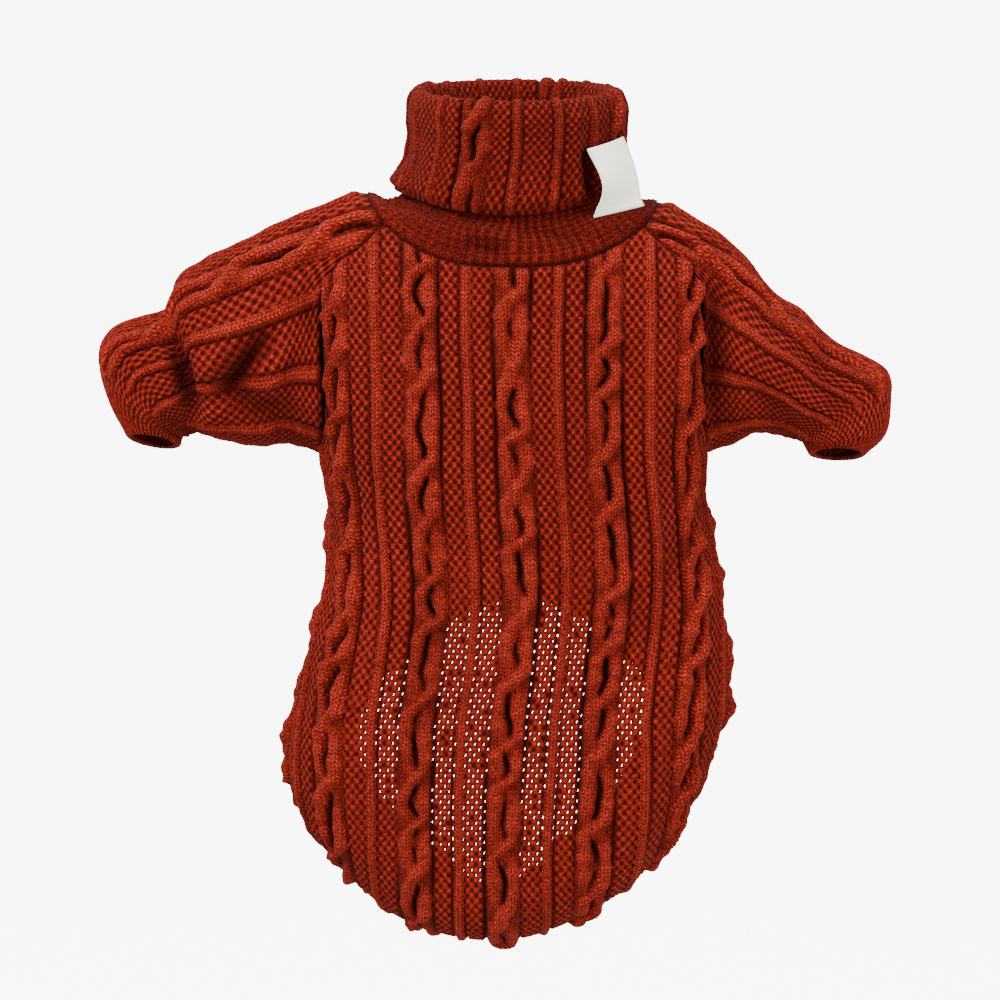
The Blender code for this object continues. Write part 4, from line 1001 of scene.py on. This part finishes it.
def flare_knit(across, along):
    """Relief of the flare, fine uneven ribs crossed by courses, and its share of net."""
    rib = np.cos(2 * np.pi * across / FLARE_RIB + ripple(FLARE_SWAY, across, along))
    course = np.cos(2 * np.pi * along / FLARE_COURSE)
    relief = (FLARE_RIB_HEIGHT + ripple(FLARE_UNEVEN, across, along)) * rib + FLARE_COURSE_HEIGHT * course
    return relief, FLARE_NET + ripple(FLARE_NET_UNEVEN, across, along)


def collar(material):
    """The neck piece: its flare, the hidden tube, the rolled rim and the folded layer, as rows of one tube.
    Past the rim the tube has turned over, so there the knit stands out against the grid's own normals."""
    angle = np.arange(COLLAR_REPEATS * CELLS) * 2 * np.pi / (COLLAR_REPEATS * CELLS)
    rings = np.array([neck_ring(angle)] + [collar_ring(angle, row) for row in COLLAR])
    inner, across, along, at, travel = tube(rings, COLLAR_CABLE_ANGLE)
    number = np.interp(at, travel, np.arange(len(rings)))
    low = inner[:COLLAR_LOW_ROWS]
    normals, faces = turned_grid(inner, True, low - low.mean(axis=1, keepdims=True))
    raised_part = 1 - fade(number, *RAISED_END)
    flare = 1 - fade(number, *FLARE_END)
    folded = fade(number, *FOLD_START)
    relief, net = knit(across, along, COLLAR_PHASE, COLLAR_EVERY)
    flare_relief, flare_net = flare_knit(across, along)
    relief = relief * (1 - flare) + flare_relief * flare
    net = net * (1 - flare) + flare_net * flare
    flare_crease = creased(inner, FLARE_CREASES) * flare
    fold_crease = creased(inner, COLLAR_CREASES) * folded
    rolled = bump(number - COLLAR_RIM_RING, COLLAR_RIM_WIDTH)
    offset = (WALL - SINK) * raised_part + COLLAR_SINK * folded + flare_crease - fold_crease
    share = raised_part * fade(along, 0.0, SEAM_FADE) - folded * (1 - COLLAR_RIM_FLAT * rolled)
    offset = offset + relief * share
    offset = offset + (1 - COLLAR_LEVEL * np.sin(angle) ** 2) * edging(NECK_GROOVE, NECK_RIDGE, along)
    tucked = np.clip(1.0 - (travel[-1] - at) / COLLAR_TUCK, 0.0, 1.0)
    offset = offset + COLLAR_TUCK * (1 - np.sqrt(1 - COLLAR_CURL * tucked**2))
    points = inner + normals * offset[..., None]
    settle = COLLAR_SETTLE - COLLAR_TILT * points[..., 1]
    points[..., 2] -= settle * fade(points[..., 2], *COLLAR_SETTLED)
    pattern = np.stack([across, along, net], axis=-1)
    # Painted shade: the knit's hollows, seams and crease troughs darker, and the whole collar darker still.
    painted_shade = COLLAR_PAINTED_SHADE * painted_shade_of(relief, along, flare_crease + fold_crease)
    edges = edge_sizes(along > travel[-1] / 2, -HEM_DEPTH)
    return sheet_piece("collar_knit", "collar", (points, normals, pattern), (painted_shade, *edges), faces, material)


def label(material):
    """The blank tape, straight from top to bottom but for a bulge, a curl of its left edge and a flick of its
    lower end: its top edge follows a ring of the folded collar and its lower corners stand off."""
    share = np.linspace(0.0, 1.0, LABEL_COLUMNS + 1)
    down = np.linspace(0.0, 1.0, LABEL_ROWS + 1)[:, None]
    angle = np.radians(between(LABEL_TOP_ANGLES, share))
    ring = COLLAR[LABEL_RING]
    top = collar_ring(angle, ring)
    top[:, 2] = between(LABEL_TOP_HEIGHTS, share)
    outward = unit(np.stack([np.sin(angle) / ring[0], -np.cos(angle) / ring[1], 0.0 * angle], axis=-1))
    low = between(LABEL_LOW_CORNERS, share[:, None])
    points = between((top + outward * LABEL_CLEAR, low), down[..., None])
    flick, flick_from, flick_width = LABEL_FLICK
    swell = LABEL_BULGE * np.sin(np.pi * down) + flick * bump(down - flick_from, flick_width)
    points = points + outward * swell[..., None]
    pulled = LABEL_CURL * np.sin(np.pi * down**LABEL_CURL_LOW) * (1 - share) ** LABEL_CURL_LEFT
    points[..., 0] += pulled
    points[..., 1] -= LABEL_CURL_OUT * pulled
    normals, faces = turned_grid(points, False, outward[None])
    across, along = np.meshgrid(share * LABEL_WIDTH, down[:, 0] * LABEL_LENGTH)
    edge = np.minimum.reduce([across, LABEL_WIDTH - across, LABEL_LENGTH - along])
    pattern = np.stack([across, along, np.zeros(across.shape)], axis=-1)
    sizes = (np.full(across.shape, size) for size in (LABEL_REACH, LABEL_WALL))
    # Painted shade along the tape's turned edges.
    singles = (fade(edge, 0.0, LABEL_EDGE), *sizes)
    return sheet_piece("label_tape", "label", (points, normals, pattern), singles, faces, material)[0]


# ---- materials -----------------------------------------------------------------------------------

NODE_SETTINGS = ("operation", "blend_type", "data_type", "attribute_name", "node_tree")


def add_node(tree, kind, **inputs):
    """A shader node with its settings, and with values or links on its inputs, which are named with
    underscores for spaces, or numbered from i0."""
    node = tree.nodes.new(kind)
    for name, value in inputs.items():
        if name in NODE_SETTINGS:
            setattr(node, name, value)
            continue
        key = int(name[1:]) if name[0] == "i" and name[1:].isdigit() else name.replace("_", " ")
        socket = node.inputs[key]
        if isinstance(value, bpy.types.NodeSocket):
            tree.links.new(value, socket)
        else:
            socket.default_value = value
    return node


def math(tree, operation, *values):
    """The output of a math node."""
    inputs = {f"i{k}": value for k, value in enumerate(values)}
    return add_node(tree, "ShaderNodeMath", operation=operation, **inputs).outputs[0]


def product(tree, first, second):
    """One value times another."""
    return math(tree, "MULTIPLY", first, second)


def scaled(tree, value, scale, shift):
    """A value times a scale, plus a shift."""
    return math(tree, "MULTIPLY_ADD", value, scale, shift)


def quarter_wave(tree, value, start):
    """A wave that is 1 at the start and at every fourth unit from it, and -1 halfway between."""
    return math(tree, "COSINE", product(tree, math(tree, "SUBTRACT", value, start), np.pi / 2))


def ranged(tree, value, ends):
    """0 at the first end and 1 at the second, and level past them."""
    return add_node(tree, "ShaderNodeMapRange", Value=value, i1=ends[0], i2=ends[1]).outputs[0]


def new_group(name, inputs, outputs):
    """An empty node group with named inputs and outputs."""
    tree = bpy.data.node_groups.new(name, "ShaderNodeTree")
    for title, kind, value in inputs:
        socket = tree.interface.new_socket(title, in_out="INPUT", socket_type=kind)
        if value is not None:
            socket.default_value = value
    for title, kind in outputs:
        tree.interface.new_socket(title, in_out="OUTPUT", socket_type=kind)
    return tree, tree.nodes.new("NodeGroupInput"), tree.nodes.new("NodeGroupOutput")


def stitch_group():
    """Height and painted shade of the stitches over a flat pattern in millimetres.  Stocking stitch: each
    wale is a row of Vs, from the distance to the wale's middle and the place along it, with painted shade
    between them.
    Net: painted shade at each eyelet and a painted highlight at each crossing of yarn, from the product of a
    wave across and a wave along."""
    tree, given, made = new_group(
        "Stitches",
        (("Pattern", "NodeSocketVector", None), ("Net", "NodeSocketFloat", 0.0),
         ("Unevenness", "NodeSocketFloat", 0.5)),
        (("Height", "NodeSocketFloat"), ("Shade", "NodeSocketFloat"), ("Hole", "NodeSocketFloat")))
    net = given.outputs["Net"]
    across, along, _ = add_node(tree, "ShaderNodeSeparateXYZ", Vector=given.outputs["Pattern"]).outputs
    uneven = scaled(tree, given.outputs["Unevenness"], 1.0, -0.5)
    wale = math(tree, "FRACT", math(tree, "DIVIDE", across, STITCH_WALE))
    leg = math(tree, "ABSOLUTE", math(tree, "SUBTRACT", wale, 0.5))
    course = math(tree, "ADD", math(tree, "DIVIDE", along, STITCH_COURSE), uneven)
    wave = math(tree, "SINE", product(tree, scaled(tree, leg, STITCH_SLANT, course), 2 * np.pi))
    yarn = math(tree, "POWER", scaled(tree, wave, 0.49, 0.5), YARN_ROUND)
    bent = math(tree, "ABSOLUTE", scaled(tree, leg, 4.0, -1.0))
    middle = math(tree, "POWER", math(tree, "MAXIMUM", math(tree, "SUBTRACT", 1.0, bent), 0.001), 0.5)
    stitches = product(tree, yarn, middle)
    folded = math(tree, "PINGPONG", math(tree, "DIVIDE", across, CELL), CELLS / 2)
    net_across = quarter_wave(tree, folded, EYELET_FIRST + 0.5)
    net_along = quarter_wave(tree, math(tree, "DIVIDE", along, ROW), 0.5)
    field = product(tree, product(tree, net_across, net_along), net)
    # Painted shade at each eyelet and a painted highlight at each crossing of yarn.
    hole = ranged(tree, field, HOLE_RANGE)
    crossing = ranged(tree, field, CROSSING_RANGE)
    plain = math(tree, "SUBTRACT", 1.0, net)
    height = math(tree, "ADD", product(tree, stitches, plain), product(tree, crossing, NET_HEIGHT))
    # Painted shade between the stitches' Vs, and painted highlights on the net's crossings.
    shade = product(tree, scaled(tree, stitches, *STITCH_SHADE), plain)
    netted = product(tree, scaled(tree, crossing, *NET_SHADE), net)
    tree.links.new(math(tree, "SUBTRACT", height, hole), made.inputs["Height"])
    tree.links.new(math(tree, "ADD", shade, netted), made.inputs["Shade"])
    tree.links.new(hole, made.inputs["Hole"])
    return tree


def fibre_group():
    """Values of fine, short fibres, of middling ones and of broad, soft unevenness of the yarn, at a point in
    space: three noises of different scale."""
    tree, given, made = new_group(
        "Fibres",
        (("Point", "NodeSocketVector", None), ("Fine", "NodeSocketFloat", FINE_FIBRES)),
        (("Fibre", "NodeSocketFloat"), ("Cloud", "NodeSocketFloat"), ("Mixed", "NodeSocketFloat")))
    noises = (("Fibre", given.outputs["Fine"], 3.0, 0.65), ("Cloud", BROAD_FIBRES, 2.0, 0.55),
              ("Mixed", MIDDLE_FIBRES, 1.0, 0.5))
    for title, scale, detail, roughness in noises:
        noise = add_node(tree, "ShaderNodeTexNoise", Vector=given.outputs["Point"], Scale=scale,
                         Detail=detail, Roughness=roughness)
        tree.links.new(noise.outputs[0], made.inputs[title])
    return tree


def mix_colour(tree, share, first, second, blend="MIX"):
    """The colour between two colours."""
    mix = add_node(tree, "ShaderNodeMix", data_type="RGBA", blend_type=blend, i0=share, i6=first, i7=second)
    return mix.outputs[2]


def new_material(name):
    """A material with its tree and its shader."""
    material = bpy.data.materials.new(name)
    material.use_nodes = True
    return material, material.node_tree, material.node_tree.nodes["Principled BSDF"]


def attribute(tree, name):
    """A value that is kept at each point of a mesh."""
    return add_node(tree, "ShaderNodeAttribute", attribute_name=name).outputs["Fac"]


def knit_material(stitches, fibres):
    """Rust acrylic yarn, with painted shade in the knit's hollows and eyelets and lighter on its strands."""
    material, tree, shader = new_material("rust_knit_yarn")
    pattern = add_node(tree, "ShaderNodeUVMap").outputs[0]
    point = add_node(tree, "ShaderNodeTexCoord").outputs["Object"]
    fibre = add_node(tree, "ShaderNodeGroup", node_tree=fibres, Point=point).outputs
    stitch = add_node(tree, "ShaderNodeGroup", node_tree=stitches, Pattern=pattern,
                      Net=attribute(tree, "net"), Unevenness=fibre["Mixed"]).outputs
    # Painted shade: the tone mixes the shaded rust in hollows, seams and creases with the lit rust on
    # strands.
    ground = mix_colour(tree, attribute(tree, "painted_shade"), SHADED_RUST, LIGHT_RUST)
    # The stitches' painted shade and highlights, times the fibres' random unevenness.
    shade = product(tree, scaled(tree, fibre["Cloud"], *CLOUD_SHADE), stitch["Shade"])
    shade = product(tree, shade, scaled(tree, fibre["Fibre"], *FIBRE_SHADE))
    grey = add_node(tree, "ShaderNodeCombineColor", Red=shade, Green=shade, Blue=shade).outputs[0]
    colour = mix_colour(tree, 1.0, ground, grey, "MULTIPLY")
    # Painted shade at the eyelets' middles.
    colour = mix_colour(tree, product(tree, stitch["Hole"], HOLE_SHARE), colour, EYELET_SHADE_RUST)
    fine = add_node(tree, "ShaderNodeBump", Strength=0.9, Distance=FIBRE_DENT, Height=fibre["Fibre"])
    loops = add_node(tree, "ShaderNodeBump", Strength=1.0, Distance=STITCH_DENT, Height=stitch["Height"],
                     Normal=fine.outputs[0])
    tree.links.new(colour, shader.inputs["Base Color"])
    tree.links.new(loops.outputs[0], shader.inputs["Normal"])
    shader.inputs["Roughness"].default_value = 0.95
    shader.inputs["Specular IOR Level"].default_value = 0.05
    shader.inputs["Sheen Weight"].default_value = 0.06
    shader.inputs["Sheen Roughness"].default_value = 0.4
    shader.inputs["Sheen Tint"].default_value = YARN_SHEEN
    return material


def tape_material(fibres):
    """Cream cotton tape in a plain weave, with painted shade along its turned edges."""
    material, tree, shader = new_material("cream_tape_weave")
    pattern = add_node(tree, "ShaderNodeUVMap").outputs[0]
    point = add_node(tree, "ShaderNodeTexCoord").outputs["Object"]
    across, along, _ = add_node(tree, "ShaderNodeSeparateXYZ", Vector=pattern).outputs
    warp, weft = (math(tree, "SINE", product(tree, way, 2 * np.pi / TAPE_THREAD)) for way in (across, along))
    weave = scaled(tree, product(tree, warp, weft), 0.5, 0.5)
    fibre = add_node(tree, "ShaderNodeGroup", node_tree=fibres, Point=point).outputs
    share = product(tree, attribute(tree, "painted_shade"), scaled(tree, weave, *TAPE_WEAVE))
    share = product(tree, share, scaled(tree, fibre["Cloud"], *TAPE_CLOUD))
    bumps = add_node(tree, "ShaderNodeBump", Strength=0.5, Distance=WEAVE_DENT, Height=weave)
    tree.links.new(mix_colour(tree, share, TAPE_EDGE_SHADE, TAPE_CREAM), shader.inputs["Base Color"])
    tree.links.new(bumps.outputs[0], shader.inputs["Normal"])
    shader.inputs["Roughness"].default_value = 0.85
    shader.inputs["Specular IOR Level"].default_value = 0.2
    return material


# ---- stage, light and camera ---------------------------------------------------------------------

def stage():
    """A plain white floor well below the garment, and a backdrop behind it."""
    material, _, shader = new_material("plain_white")
    shader.inputs["Base Color"].default_value = STAGE_WHITE
    shader.inputs["Roughness"].default_value = 1.0
    shader.inputs["Emission Color"].default_value = WHITE
    shader.inputs["Emission Strength"].default_value = STAGE_GLOW
    for name, turn, place in (("floor", 0.0, (0.0, 0.0, FLOOR_LEVEL)),
                              ("backdrop", np.pi / 2, (0.0, BACKDROP_DISTANCE, 0.0))):
        bpy.ops.mesh.primitive_plane_add(size=STAGE_SIZE, location=place, rotation=(turn, 0.0, 0.0))
        item = bpy.context.object
        item.name = name
        item.data.materials.append(material)
        item.visible_diffuse = False
        item.visible_glossy = False


def light(name, place, size, power):
    """A square area light that points at the garment's middle."""
    data = bpy.data.lights.new(name, "AREA")
    data.energy = power
    data.size = size
    item = bpy.data.objects.new(name, data)
    bpy.context.scene.collection.objects.link(item)
    item.location = place
    item.rotation_euler = (Vector(LIGHT_TARGET) - Vector(place)).to_track_quat("-Z", "Y").to_euler()


def lights():
    """A soft studio: a large light above and to the left, a weaker one on the right, one from above, and a
    pale world."""
    light("key", (-0.9, -1.1, 1.2), 0.9, KEY_POWER)
    light("fill", (1.2, -1.3, 0.2), 1.2, FILL_POWER)
    light("top", (0.1, 0.25, 1.3), 0.8, TOP_POWER)
    world = bpy.data.worlds.new("pale_world")
    bpy.context.scene.world = world
    world.use_nodes = True
    background = world.node_tree.nodes["Background"]
    background.inputs["Color"].default_value = WHITE
    background.inputs["Strength"].default_value = WORLD_STRENGTH


def camera():
    """A long lens a little above the garment, facing its back."""
    target = Vector(CAMERA_TARGET)
    tilt = np.radians(CAMERA_ELEVATION)
    data = bpy.data.cameras.new("camera")
    data.lens = data.sensor_width * CAMERA_DISTANCE / CAMERA_VIEW
    item = bpy.data.objects.new("camera", data)
    bpy.context.scene.collection.objects.link(item)
    item.location = target + CAMERA_DISTANCE * Vector((0.0, -np.cos(tilt), np.sin(tilt)))
    item.rotation_euler = (target - item.location).to_track_quat("-Z", "Y").to_euler()
    bpy.context.scene.camera = item


def main():
    """Build the pieces, pair each knitted one with its cut, its kind and the pieces beside it, and set the
    stage."""
    fibres = fibre_group()
    yarn = knit_material(stitch_group(), fibres)
    sheets = (
        (panel("back_knit", "back_panel", True, BACK_GRID, yarn),
         BACK_CUT, "stretched", ["collar_knit", "sleeve_left_knit", "sleeve_right_knit"]),
        (panel("belly_knit", "belly_panel", False, BELLY_GRID, yarn),
         BELLY_CUT, "stretched", ["collar_knit", "back_knit"]),
        (sleeve("sleeve_left_knit", "sleeve_left", -1.0, LEFT_SLEEVE, LEFT_CREASES, yarn),
         SLEEVE_CUT, "stretched", ["back_knit", "belly_knit"]),
        (sleeve("sleeve_right_knit", "sleeve_right", 1.0, RIGHT_SLEEVE, RIGHT_CREASES, yarn),
         SLEEVE_CUT, "stretched", ["back_knit", "belly_knit"]),
        (collar(yarn), COLLAR_CUT, "folded", ["back_knit", "belly_knit"]),
    )
    tape = label(tape_material(fibres))
    stage()
    lights()
    camera()


main()
